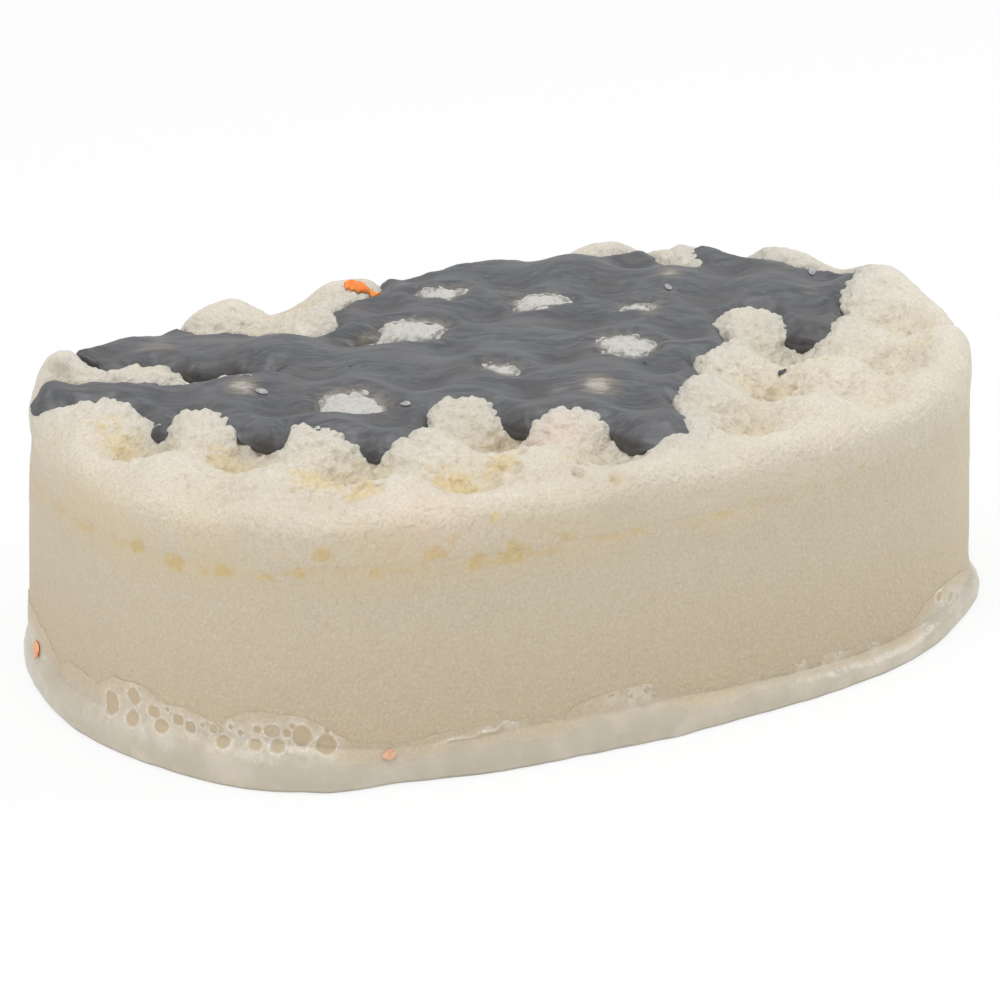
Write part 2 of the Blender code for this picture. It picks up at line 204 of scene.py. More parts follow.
def ramp(finish, value, low, high):
    """0 below low, 1 above high, and an eased step between."""
    settings = {"interpolation_type": "SMOOTHSTEP"}
    return finish.node("ShaderNodeMapRange", settings, {0: value, 1: low, 2: high})


def soft_noise(finish, size, detail=2.0, coords=None, distortion=0.0):
    """Cloudy noise from 0 to 1 with waves of about this size."""
    sockets = {"Scale": 1 / size, "Detail": detail, "Distortion": distortion}
    sockets["Vector"] = coords or finish.coords
    return finish.node("ShaderNodeTexNoise", None, sockets)


def cells(finish, size, feature="F1"):
    """Distance to the middle of the nearest cell, as a share of the size."""
    sockets = {"Scale": 1 / size, "Vector": finish.coords}
    return finish.node("ShaderNodeTexVoronoi", {"feature": feature}, sockets)


def stretched(finish, lengths, turn):
    """Object coordinates turned about the upright, then shrunk by these lengths, for long streaks."""
    sockets = {"Vector": finish.coords, "Scale": lengths, "Rotation": (0, 0, turn)}
    return finish.node("ShaderNodeMapping", {"vector_type": "TEXTURE"}, sockets)


def painted(finish, name):
    """The number that each vertex carries under this name."""
    return finish.node("ShaderNodeAttribute", {"attribute_name": name}, out="Fac")


def bump(finish, height, distance):
    """A normal that follows this height, which is worth so much in metres."""
    sockets = {"Height": height, "Distance": distance, "Strength": 1.0}
    return finish.node("ShaderNodeBump", None, sockets)


def coated(finish, colour, *coats):
    """The colour under one coat after another: each is a share, and the tone that it brings."""
    for share, coat in coats:
        colour = mix(finish, share, colour, coat)
    return colour


def strongest(marks):
    """The largest of several values, place by place."""
    most = marks[0]
    for mark in marks[1:]:
        most = most.math("MAXIMUM", most, mark)
    return most


def lit_within(finish, weight, depth, shine):
    """Lets light go a little way into a finish, as it does into soap, red the furthest."""
    sockets = {"Subsurface Weight": weight, "Subsurface Scale": depth, "Specular IOR Level": shine}
    sockets["Subsurface Radius"] = (1.0, 0.8, 0.6)
    for name, value in sockets.items():
        finish.put(finish.shader.inputs[name], value)


print("patterns ready")

# %% [markdown]
# Floor, world and lamps.
# The photograph has a white ground and soft light from above. The floor is a pale sheet. For the
# camera it glows a little, so that it comes out white and still takes a soft shadow. The world
# lights the object evenly, and is plain white where the camera sees it.

# %% Floor
bm = bmesh.new()
bmesh.ops.create_grid(bm, x_segments=1, y_segments=1, size=3.0)
bmesh.ops.translate(bm, vec=(0, 0, -0.1 * mm), verts=bm.verts)
floor_mesh = bpy.data.meshes.new("floor")
bm.to_mesh(floor_mesh)
bm.free()
floor = bpy.data.objects.new("floor", floor_mesh)
bpy.context.scene.collection.objects.link(floor)
paper = Finish("pale_paper")
paper.set(Base_Color=tone(248, 248, 248), Roughness=0.9)
paper.put(paper.shader.inputs["Specular IOR Level"], 0.0)
glow = paper.node("ShaderNodeEmission", None, {"Strength": 1.0})
seen = paper.node("ShaderNodeLightPath", None, None, "Is Camera Ray")
mixed = paper.node(
    "ShaderNodeMixShader", None, {0: seen * 0.8, 1: Value(paper, paper.shader.outputs[0]), 2: glow}
)
paper.put(paper.tree.nodes["Material Output"].inputs["Surface"], mixed)
floor_mesh.materials.append(paper.material)
print("floor laid")

# %% World
world = bpy.data.worlds.new("studio")
world.use_nodes = True
bpy.context.scene.world = world
nodes, links = world.node_tree.nodes, world.node_tree.links
ray = nodes.new("ShaderNodeLightPath")
seen = nodes.new("ShaderNodeMath")
seen.operation = "MAXIMUM"
links.new(ray.outputs["Is Camera Ray"], seen.inputs[0])
links.new(ray.outputs["Is Transmission Ray"], seen.inputs[1])
strength = nodes.new("ShaderNodeMapRange")
links.new(seen.outputs[0], strength.inputs[0])
world_strength = 0.62
strength.inputs[3].default_value = world_strength
strength.inputs[4].default_value = 1.0
sky = nodes["Background"]
sky.inputs["Color"].default_value = (1, 1, 1, 1)
links.new(strength.outputs[0], sky.inputs["Strength"])
bpy.context.scene.view_settings.view_transform = "Standard"
print("world at", world_strength)

# %% Lamps
def soft_lamp(name, place, size, power, colour=(1, 1, 1)):
    """A square lamp of this size, turned towards the block."""
    lamp = bpy.data.lights.new(name, "AREA")
    lamp.size = size
    lamp.energy = power
    lamp.color = colour
    holder = bpy.data.objects.new(name, lamp)
    holder.location = place
    holder.rotation_euler = (Vector((0, 0, 0.02)) - holder.location).to_track_quat("-Z", "Y").to_euler()
    bpy.context.scene.collection.objects.link(holder)


soft_lamp("overhead", (-0.10, -0.05, 0.85), 0.45, 2.6)
soft_lamp("left", (-0.80, -0.35, 0.45), 0.40, 1.3)
soft_lamp("right", (0.75, -0.20, 0.50), 0.40, 1.8, (0.90, 0.97, 1.0))
print("three soft lamps")

# %% [markdown]
# The plan and the height of the foam.
# These functions give the surface of the solids, and the few settled places on top of it, for
# whole arrays of points at once, so that a fine mesh of a hundred thousand points takes a moment.
# Inset is the distance in from the wall, found by halving an interval until the shrunken oval
# passes through the point.

# %% Height of the foam
def oval_norm(x, y):
    return (np.abs(x) ** oval_power + np.abs(y) ** oval_power) ** (1 / oval_power)


def inset_at(x, y):
    low, high = np.zeros_like(x), np.full_like(x, half_width)
    for _ in range(24):
        middle = (low + high) / 2
        inside = oval_norm(x / (half_length - middle), y / (half_width - middle)) < 1
        low, high = np.where(inside, middle, low), np.where(inside, high, middle)
    return low


def smooth(t):
    t = np.clip(t, 0, 1)
    return t * t * (3 - 2 * t)


def relief_share(x, y, inset):
    """0 in a pit, 1 on a peak, and more level near the front wall, where soap fills the pits."""
    across, along = x - first_peak[0], y - first_peak[1]
    i = (across * row_u[0] + along * row_u[1]) / peak_pitch**2
    j = (across * row_v[0] + along * row_v[1]) / peak_pitch**2
    wave = (np.cos(math.tau * i) + np.cos(math.tau * j) + 2) / 4
    share = 1 - (1 - wave) ** peak_fullness
    front = smooth((rim_back_share - y / half_width) / (2 * rim_back_share))
    fill = (1 - smooth(inset / rim_fill_width)) * rim_fill_share * front
    return share * (1 - fill) + rim_level_share * fill


def foam_top(x, y, inset):
    height = pit_floor + pit_depth * relief_share(x, y, inset)
    for (i, j), share in peak_lifts.items():
        peak = first_peak + i * row_u + j * row_v
        away = np.hypot(x - peak[0], y - peak[1]) / (lift_reach_share * peak_pitch)
        height += share * pit_depth * np.exp(-(away**2))
    for spot_x, spot_y, reach, rise in settled:
        away = np.hypot(x - spot_x * mm, y - spot_y * mm) / (reach * mm)
        height += rise * mm * np.exp(-(away**2))
    over = np.clip(1 - inset / shoulder_radius, 0, 1)
    return seam_height + height * (1 - shoulder_fall_share * (1 - np.sqrt(1 - over**2)))


def wall_outset(height):
    return wall_flare * np.clip(1 - height / seam_height, 0, 1)


middle = np.zeros(1)
middle_height = foam_top(middle, middle, inset_at(middle, middle))[0]
print("foam at its middle:", round(float(middle_height) / mm, 1), "mm")

# %% [markdown]
# Outline of the grey sheet.
# The sheet was poured, so it has no simple shape: tongues run down between the peaks, and peaks
# stand through it. The outline below goes round it in shares of the block's half length and half
# width, drawn as a smooth curve. Where it faces the camera it is drawn a little nearer, most of
# all on the peaks. Each hole is a peak's place in the pattern, and a radius as a share of the pitch.

# %% Outline of the sheet
pour_outline = (
    (-0.885, 0.465), (-0.93, 0.43), (-0.95, 0.39), (-0.925, 0.345), (-0.86, 0.33), (-0.80, 0.27),
    (-0.78, 0.15), (-0.79, 0.05), (-0.77, 0.00), (-0.73, 0.05), (-0.70, 0.11), (-0.67, 0.07),
    (-0.66, -0.03), (-0.66, -0.12), (-0.635, -0.20), (-0.61, -0.26), (-0.58, -0.23), (-0.55, -0.21),
    (-0.52, -0.27), (-0.49, -0.36), (-0.48, -0.44), (-0.46, -0.475), (-0.43, -0.46), (-0.39, -0.45),
    (-0.34, -0.38), (-0.30, -0.30), (-0.26, -0.26), (-0.21, -0.24), (-0.175, -0.28), (-0.175, -0.38),
    (-0.165, -0.46), (-0.14, -0.50), (-0.10, -0.475), (-0.06, -0.47), (-0.03, -0.54), (-0.02, -0.62),
    (-0.02, -0.69), (0.00, -0.76), (0.04, -0.79), (0.085, -0.81), (0.12, -0.74), (0.15, -0.62),
    (0.17, -0.53), (0.21, -0.50), (0.27, -0.44), (0.31, -0.36), (0.33, -0.27), (0.37, -0.235),
    (0.42, -0.24), (0.465, -0.18), (0.485, -0.09), (0.52, 0.00), (0.58, 0.09), (0.635, 0.10),
    (0.665, 0.04), (0.64, -0.08), (0.61, -0.17), (0.625, -0.22), (0.66, -0.26), (0.71, -0.24),
    (0.77, -0.15), (0.82, -0.04), (0.90, 0.06), (0.94, 0.14), (0.935, 0.24), (0.90, 0.29),
    (0.86, 0.34), (0.84, 0.43), (0.82, 0.55), (0.79, 0.66), (0.75, 0.70), (0.72, 0.64),
    (0.70, 0.56), (0.65, 0.56), (0.65, 0.67), (0.66, 0.76), (0.62, 0.79), (0.55, 0.77),
    (0.49, 0.79), (0.44, 0.88), (0.37, 0.94), (0.27, 0.955), (0.15, 0.965), (0.05, 0.955),
    (0.00, 0.88), (-0.05, 0.79), (-0.11, 0.77), (-0.155, 0.72), (-0.195, 0.66), (-0.215, 0.58),
    (-0.265, 0.53), (-0.31, 0.535), (-0.335, 0.62), (-0.37, 0.71), (-0.42, 0.75), (-0.455, 0.80),
    (-0.48, 0.88), (-0.55, 0.925), (-0.62, 0.91), (-0.69, 0.87), (-0.75, 0.82), (-0.765, 0.75),
    (-0.735, 0.68), (-0.745, 0.58), (-0.71, 0.55), (-0.66, 0.60), (-0.62, 0.62), (-0.59, 0.58),
    (-0.57, 0.51), (-0.53, 0.47), (-0.49, 0.44), (-0.46, 0.38), (-0.44, 0.32), (-0.48, 0.27),
    (-0.54, 0.26), (-0.62, 0.31), (-0.70, 0.355), (-0.76, 0.415), (-0.80, 0.445), (-0.845, 0.455),
)
pour_holes = (
    (-0.07, 1.98, 0.24), (-1.04, 1.99, 0.205), (0.92, 2.04, 0.145), (1.06, 0.87, 0.235),
    (0.11, -0.03, 0.145), (-1.0, 0.88, 0.275), (-1.30, 0.62, 0.17), (-0.96, -1.22, 0.29),
    (-1.125, 0.78, 0.17),
)
hole_size, hole_stretch, hole_stretch_turn = 0.84, 0.14, math.radians(-30.34)
pour_rim_margin, curve_steps = 0.7 * mm, 4


def rounded(corners, steps):
    """The closed curve through these corners, with so many steps from one to the next."""
    places = []
    for number in range(len(corners)):
        before, start, end, after = (corners[(number + k - 1) % len(corners)] for k in range(4))
        for t in np.arange(steps) / steps:
            bend = (2 * before - 5 * start + 4 * end - after) * t
            bend += (3 * start - 3 * end + after - before) * t * t
            places.append(start + (end - before + bend) * t / 2)
    return np.array(places)


def drawn_nearer(curve, reach):
    """The curve with the sides that face the camera moved towards it by about this reach."""
    ahead = np.roll(curve, -1, axis=0) - np.roll(curve, 1, axis=0)
    outward = np.stack((ahead[:, 1], -ahead[:, 0]), 1) / np.linalg.norm(ahead, axis=1)[:, None]
    near = np.array((math.sin(camera_turn), -math.cos(camera_turn)))
    facing = np.clip(1.3 * (outward @ near), 0, 1)
    x, y = curve.T
    on_peaks = relief_share(x, y, inset_at(x, y))
    return curve + near * (reach * facing * (0.7 + 1.5 * on_peaks))[:, None]


run_on = 1.0 * mm
pour_corners = rounded(np.array(pour_outline) * (half_length, half_width), curve_steps)
pour_corners = drawn_nearer(pour_corners, run_on)
print("outline of", len(pour_corners), "points and", len(pour_holes), "holes")

# %% Distance in from the sheet's edge
def hole_gap(x, y):
    """Distance from the nearest hole's uneven edge, negative inside the hole."""
    gaps = []
    for i, j, radius in pour_holes:
        peak = first_peak + i * row_u + j * row_v
        turn = np.arctan2(y - peak[1], x - peak[0])
        uneven = hole_size + hole_stretch * np.cos(2 * (turn - hole_stretch_turn))
        uneven += 0.10 * np.sin(3 * turn + 9 * i + 5 * j)
        uneven += 0.07 * np.sin(5 * turn + 7 * i - 4 * j)
        gaps.append(np.hypot(x - peak[0], y - peak[1]) - radius * peak_pitch * uneven)
    return np.min(gaps, axis=0)


def pour_inset(x, y, inset):
    """Positive on the sheet, negative outside it and in its holes."""
    nearest, inside = np.full_like(x, 1.0), np.zeros(x.shape, bool)
    for start, end in zip(pour_corners, np.roll(pour_corners, -1, axis=0)):
        side = end - start
        share = ((x - start[0]) * side[0] + (y - start[1]) * side[1]) / (side @ side)
        share = np.clip(share, 0, 1)
        away = np.hypot(x - start[0] - share * side[0], y - start[1] - share * side[1])
        nearest = np.minimum(nearest, away)
        passes = (start[1] > y) != (end[1] > y)
        if side[1]:
            inside ^= passes & (x < start[0] + (y - start[1]) * side[0] / side[1])
    nearest = np.minimum(np.where(inside, nearest, -nearest), inset - pour_rim_margin)
    return np.minimum(nearest, hole_gap(x, y))


middle_inset = pour_inset(middle, middle, middle)[0]
print("sheet edge at the middle:", round(float(middle_inset) / mm, 1), "mm in")

# %% [markdown]
# Roughness of the foam.
# Soap foam is crumbly, like cottage cheese. Two kinds of noise make that: a soft wave that wanders,
# and grains, which are domes round scattered middles with creases between them. Both are worked
# out at a point in space, so the upper and the lower layer meet without a step.

# %% Noise at points
def wander(points, size, seed=0):
    """Soft noise from -1 to 1 with waves of about this size."""
    shift = Vector((17.3, 5.1, 9.7)) * (seed + 1)
    return np.array([noise.noise(Vector(p) + shift) for p in (points / size).tolist()])


def grains(points, size, seed=0):
    """1 in the middle of each grain, 0 in the creases between grains."""
    shift = Vector((3.7, 11.9, 6.1)) * (seed + 1)
    near = [noise.voronoi(Vector(p) + shift)[0][0] for p in (points / size).tolist()]
    return 1 - np.clip(np.array(near) * 1.25, 0, 1) ** 2


print("grain at the middle:", round(float(grains(np.zeros((1, 3)), mm)[0]), 2))

# %% Helpers for meshes
def points_of(mesh, what="co"):
    """The mesh's points, or their normals, as an array."""
    values = np.empty(len(mesh.vertices) * 3, np.float32)
    mesh.vertices.foreach_get(what, values)
    return values.reshape(-1, 3).astype(float)


def move_points(mesh, points):
    mesh.vertices.foreach_set("co", points.astype(np.float32).ravel())
    mesh.update()


def paint(mesh, name, values):
    """Keeps a number for each vertex, which a material can read by this name."""
    layer = mesh.attributes.new(name, "FLOAT", "POINT")
    layer.data.foreach_set("value", np.asarray(values, np.float32))


def piece_from(bm, name):
    """A smooth mesh object from a finished bmesh, standing on its own."""
    mesh = bpy.data.meshes.new(name)
    bm.to_mesh(mesh)
    bm.free()
    mesh.shade_smooth()
    mesh.set_sharp_from_angle(angle=math.radians(70))
    piece = bpy.data.objects.new(name, mesh)
    bpy.context.scene.collection.objects.link(piece)
    return piece


def say(piece):
    """Prints a piece's size, for the reader."""
    points = points_of(piece.data)
    size = (points.max(0) - points.min(0)) / mm
    print(piece.name, len(piece.data.vertices), "points,", [round(float(v), 1) for v in size], "mm")


print("mesh helpers ready")

# %% [markdown]
# Upper foam layer: the plan.
# A square grid is drawn out to the oval, which keeps its cells nearly square in the middle. It is
# cut finer wherever the foam shows, so that its crumbs come out crisp. Then rings are extruded over
# the shoulder and down the wall to the seam. One operator call adds a ring, and the new points are
# moved in numpy afterwards, so here they only need a number that says how far down they are.

# %% Plan of the upper layer
grid_step, shoulder_rings, wall_rings = 0.60 * mm, 8, 14


def drawn_out(flat, inset):
    """Plan points of the grid's points, for a plan that stands in from the wall by so much."""
    reach = np.abs(flat[:, :2]).max(1)
    on_oval = np.where(reach > 0, reach / np.maximum(oval_norm(flat[:, 0], flat[:, 1]), 1e-9), 1)
    wider = 1 + (on_oval - 1) * reach
    return flat[:, 0] * wider * (half_length - inset), flat[:, 1] * wider * (half_width - inset)


inner_length, inner_width = half_length - shoulder_radius, half_width - shoulder_radius
columns, rows = round(2 * inner_length / grid_step), round(2 * inner_width / grid_step)
bm = bmesh.new()
bmesh.ops.create_grid(bm, x_segments=columns, y_segments=rows, size=1)
x, y = drawn_out(np.array([vert.co[:] for vert in bm.verts]), shoulder_radius)
bare = pour_inset(x, y, inset_at(x, y)) < 0.9 * mm
shown = {vert for vert, is_bare in zip(bm.verts, bare) if is_bare}
edges = [edge for edge in bm.edges if shown.intersection(edge.verts)]
bmesh.ops.subdivide_edges(bm, edges=edges, cuts=1, use_grid_fill=True)
turned = bm.verts.layers.float.new("ring")
edges = [edge for edge in bm.edges if edge.is_boundary]
for ring in range(1, shoulder_rings + wall_rings + 1):
    grown = bmesh.ops.extrude_edge_only(bm, edges=edges)["geom"]
    edges = [item for item in grown if isinstance(item, bmesh.types.BMEdge) and item.is_boundary]
    for vert in grown:
        if isinstance(vert, bmesh.types.BMVert):
            vert[turned] = ring
bmesh.ops.holes_fill(bm, edges=edges, sides=0)
bmesh.ops.recalc_face_normals(bm, faces=bm.faces)
upper = piece_from(bm, "upper_foam")
say(upper)

# %% Shape of the upper layer
flat = points_of(upper.data)
ring = np.empty(len(flat), np.float32)
upper.data.attributes["ring"].data.foreach_get("value", ring)
shoulder = np.clip(ring / shoulder_rings, 0, 1)
inset = shoulder_radius * (1 - np.sin(np.pi / 2 * shoulder))
x, y = drawn_out(flat, inset)
inset = inset_at(x, y)
down = np.clip(ring / wall_rings - shoulder_rings / wall_rings, 0, 1)
z = foam_top(x, y, inset)
z += (seam_height - z) * down
move_points(upper.data, np.stack((x, y, z), 1))
upper_points, upper_inset, upper_down = np.stack((x, y, z), 1), inset, down
upper_pour = pour_inset(x, y, inset)
print("upper layer's top at", round(float(z.max()) / mm, 1), "mm")

# %% [markdown]
# Crumbs and lumps.
# The noise moves each point along its normal. Where the grey sheet covers the foam nothing is
# needed. The ridge along the front wall was smoothed by soap that ran into it, so the grains are
# weak there and strong near the pits and the sheet's edge.

# %% Foam roughness
wave_sizes = ((6.5 * mm, 0.45 * mm), (3.0 * mm, 0.35 * mm))
crumb_sizes = ((2.4 * mm, 0.55 * mm), (1.3 * mm, 0.52 * mm), (0.75 * mm, 0.34 * mm))
dent_way, dent_spread, dent_depth = math.radians(151), math.radians(16), 0.6 * mm
dent_height, dent_tall = 31 * mm, 3 * mm


def foam_noise(points, crumbly):
    """How far the foam's surface stands out from its plain form."""
    broad = sum(rise * wander(points, size, seed) for seed, (size, rise) in enumerate(wave_sizes))
    crumbs = sum(rise * (grains(points, size, seed) - 0.5) for seed, (size, rise) in enumerate(crumb_sizes))
    return broad * (0.25 + 0.75 * crumbly) + crumbly * crumbs


def dent(points):
    """How far the wall is pressed in near its left end."""
    way = np.arctan2(points[:, 1] / half_width, points[:, 0] / half_length)
    along = (np.abs(way) - dent_way) / dent_spread
    up = (points[:, 2] - dent_height) / dent_tall
    return dent_depth * np.exp(-(along**2) - up**2) * (points[:, 1] > 0)


print("crumbs of", [round(size / mm, 2) for size, rise in crumb_sizes], "mm")

# %% [markdown]
# The crumbly surface.
# Pocks are small dark pores, given by x, y, z and radius in millimetres. The foam also stands up as
# a low rim along the sheet's edge, and fills the sheet's holes nearly to their brim.

# %% Surface of the upper layer
edge_rim, edge_rim_in_hole, hole_fill, pock_depth = 0.70, 0.15, 1.5 * mm, 0.60 * mm
relief = relief_share(x, y, inset)
in_hole = 1 - smooth(hole_gap(x, y) / mm)
pocks = (
    (-19.9, -29.4, 34.9, 0.7), (-20.4, -31.8, 34.9, 0.8), (-18.8, -33.6, 35.1, 0.9),
    (-12.9, -20.6, 33.4, 1.2), (-12.7, -38.1, 35.1, 1.0), (-9.2, -41.0, 34.7, 0.8),
    (-16.6, -31.2, 36.0, 0.7), (-43.2, -7.5, 34.7, 0.9), (-41.6, -9.2, 34.4, 1.1),
    (-10.9, -35.8, 35.7, 1.1), (27.8, -21.2, 32.4, 1.1), (25.4, -20.4, 32.4, 0.9),
    (29.9, -22.6, 32.6, 0.8), (-38.6, -30.4, 35.0, 0.8), (-36.8, -31.4, 35.0, 0.7),
)
pressed = np.zeros(len(x))
for *spot, radius in pocks:
    away = np.linalg.norm(upper_points[:, :2] - np.array(spot[:2]) * mm, axis=1) / (radius * mm)
    pressed = np.maximum(pressed, np.exp(-(away**4)))
open_top = 1 - smooth((upper_pour - 0.4 * mm) / (1.4 * mm))
near_sheet = np.exp(-((np.clip(-upper_pour, 0, None) / (4.0 * mm)) ** 2))
crumbly = smooth((inset - 1.5 * mm) / (5.0 * mm)) * (0.55 + 0.45 * np.maximum(near_sheet, 1 - relief))
crumbly = np.maximum(crumbly, 0.10)
beside_sheet = np.exp(-(((upper_pour + 1.3 * mm) / (1.7 * mm)) ** 2)) * smooth((relief - 0.25) / 0.5)
normals = points_of(upper.data, "normal")
normals[:, 2] *= upper_down <= 0
normals /= np.linalg.norm(normals, axis=1)[:, None]
pressed *= np.clip(0.6 + 0.9 * wander(upper_points, 0.9 * mm, 13), 0, 1)
stand_out = foam_noise(upper_points, crumbly * (1 - 0.35 * in_hole)) * open_top
rim_height = (edge_rim + (edge_rim_in_hole - edge_rim) * in_hole) * mm
stand_out += rim_height * beside_sheet * smooth(inset / (2.5 * mm))
stand_out += hole_fill * in_hole * (1 - relief)
stand_out -= pock_depth * pressed + dent(upper_points)
moved = upper_points + normals * stand_out[:, None]
move_points(upper.data, moved)
print("foam stands out by up to", round(float(np.abs(moved - upper_points).max()) / mm, 2), "mm")

# %% [markdown]
# Lower foam layer.
# It is a plain block, so a cone operator with equal ends gives its tube, and one subdivision of the
# upright edges gives the rings. Its top goes a little way up inside the upper layer, so that no
# light shows through the seam.

# %% Tube with rings
def tube(name, segments, cuts):
    """A capped tube of unit radius. Its height runs from 0 to 1 in equal rings."""
    bm = bmesh.new()
    bmesh.ops.create_cone(bm, cap_ends=True, segments=segments, radius1=1, radius2=1, depth=1)
    bmesh.ops.translate(bm, vec=(0, 0, 0.5), verts=bm.verts)
    upright = [edge for edge in bm.edges if abs(edge.verts[0].co.z - edge.verts[1].co.z) > 0.5]
    bmesh.ops.subdivide_edges(bm, edges=upright, cuts=cuts)
    return piece_from(bm, name)


def oval_place(way, outset, height):
    """Points round the oval, this far outside it and at this height."""
    size = oval_norm(np.cos(way), np.sin(way))
    x = np.cos(way) / size * (half_length + outset)
    y = np.sin(way) / size * (half_width + outset)
    return np.stack((x, y, height), 1)


lower_bottom, tuck = 1.9 * mm, 0.5 * mm
lower = tube("lower_foam", 840, 60)
flat = points_of(lower.data)
way, level = np.arctan2(flat[:, 1], flat[:, 0]), flat[:, 2]
z = lower_bottom + (seam_height + tuck - lower_bottom) * level
hidden = smooth((z - seam_height) / tuck) * 0.15 * mm
lower_points = oval_place(way, wall_outset(z) - hidden, z)
move_points(lower.data, lower_points)
normals = points_of(lower.data, "normal")
normals[:, 2] = 0
soaked = foam_noise(lower_points, 0.10) * (1 - 0.5 * smooth((seam_height - z) / (12 * mm)))
soaked -= dent(lower_points)
move_points(lower.data, lower_points + normals * soaked[:, None])
say(lower)

# %% [markdown]
# Soap foot.
# Soap that drained from the block set round its base as a low, glossy skirt with soft lobes. The
# lobes are listed by direction in degrees: how wide each is, and how much it raises and swells the
# skirt. Above it a thin film climbs the wall, highest at the left. Its lobes are listed by
# direction, width in degrees and height in millimetres.

# %% Shape of the skirt
foot_floor, skirt_height, skirt_proud, skirt_edge = 1.6 * mm, 4.0 * mm, 0.7 * mm, 0.3 * mm
skirt_lobes = (
    (-178, 12, 0.00, 0.80), (-155, 15, 0.45, -1.00), (-137, 9, 0.30, 1.20), (-129, 4, 0.05, 0.80),
    (-121, 6, 0.10, -1.30), (-107, 10, 0.25, -0.40), (-92, 6, 0.10, 0.90), (-79, 9, 0.00, 0.40),
    (-63, 14, -0.25, 0.90), (-44, 9, -0.20, -0.80), (0, 18, -0.20, 0.78), (88, 30, 0.15, 0.84),
    (148, 12, -0.20, -0.90), (168, 16, 0.00, -0.55), (-24, 12, -0.45, 0.00), (-10, 12, -0.30, 0.00),
    (-8, 17, 0.00, -1.10), (-38, 8, 0.00, 0.35),
)
film_lobes = (
    (158, 18, 4.6), (-174, 9, 2.6), (-160, 8, 3.6), (-151, 7, 2.2), (-137, 7, 3.2),
    (-115, 5, 0.9), (-98, 6, 2.2), (-74, 8, 0.8), (-47, 8, 3.0), (-30, 12, 0.9),
)
film_height, film_thick = 0.6 * mm, 0.14 * mm


def away_from(way, middle, spread):
    """How far a direction is from the middle one, as a share of the spread."""
    turn = (way - math.radians(middle) + math.pi) % math.tau - math.pi
    return turn / math.radians(spread)


def skirt_at(way):
    """The skirt's height, how far it stands out, and the top of its film, in these directions."""
    rise, bulge, film = np.ones_like(way), np.ones_like(way), np.zeros_like(way)
    for middle, spread, more_rise, more_bulge in skirt_lobes:
        swell = np.exp(-(away_from(way, middle, spread) ** 2))
        rise += more_rise * swell
        bulge += more_bulge * swell
    for middle, spread, more in film_lobes:
        film = np.maximum(film, more * mm * np.exp(-(away_from(way, middle, spread) ** 4)))
    height = skirt_height * rise
    return height, skirt_proud * np.maximum(bulge, 0), height + film_height + film


heights, _, films = skirt_at(np.radians(np.arange(-180.0, 180.0, 5.0)))
print("skirt from", round(heights.min() / mm, 1), "to", round(films.max() / mm, 1), "mm high")

# %% [markdown]
# Mesh of the foot.
# A tube with its rings is a skirt already. Most of its height runs up the outside. The rest turns
# inwards and comes down to the foot's flat floor, hidden in the foam. The froth needs a finer mesh
# than the rest, so the directions are spread unevenly: closer together where there is froth.

# %% Mesh of the foot
froth_from, froth_to, froth_share = math.radians(-172), math.radians(-124), 1.6
headings = np.linspace(-math.pi, math.pi, 2001)
density = 1 + froth_share * smooth((headings - froth_from) / 0.05) * smooth((froth_to - headings) / 0.05)
turned = np.concatenate(([0], np.cumsum((density[1:] + density[:-1]) / 2)))
turned = turned / turned[-1] * math.tau - math.pi
outer_share = 0.80
foot = tube("soap_foot_skirt", 1300, 58)
flat = points_of(foot.data)
way, level = np.interp(np.arctan2(flat[:, 1], flat[:, 0]), turned, headings), flat[:, 2]
height, proud, film_top = skirt_at(way)
at_left = np.exp(-(away_from(way, 156, 20) ** 2))
ragged = (0.35 + 0.45 * at_left) * mm
film_top = film_top + ragged * wander(oval_place(way, 0 * way, 0 * way), 1.6 * mm, 4)
climb = np.clip(level / outer_share, 0, 1)
z = film_top * climb
section = np.clip(1 - np.clip(z / height, 0, 1) ** 3, 0, 1) ** 0.8
foot_out = wall_flare + layer_gap + skirt_edge + proud
start_out = wall_outset(height)
outset = np.maximum(start_out + (foot_out - start_out) * section, wall_outset(z))
outset += film_thick * (1 + 0.8 * at_left) * (1 - smooth((climb - 0.40) / 0.60)) * smooth(climb / 0.4)
outset -= skirt_edge * (1 - smooth(z / (0.5 * mm)))
inward = np.clip((level - outer_share) / (1 - outer_share), 0, 1)
outset -= (outset - wall_outset(z) + 0.4 * mm) * smooth(inward * 4)
z = z + (foot_floor - z) * smooth((inward - 0.25) / 0.75)
foot_points = oval_place(way, outset, z)
move_points(foot.data, foot_points)
say(foot)
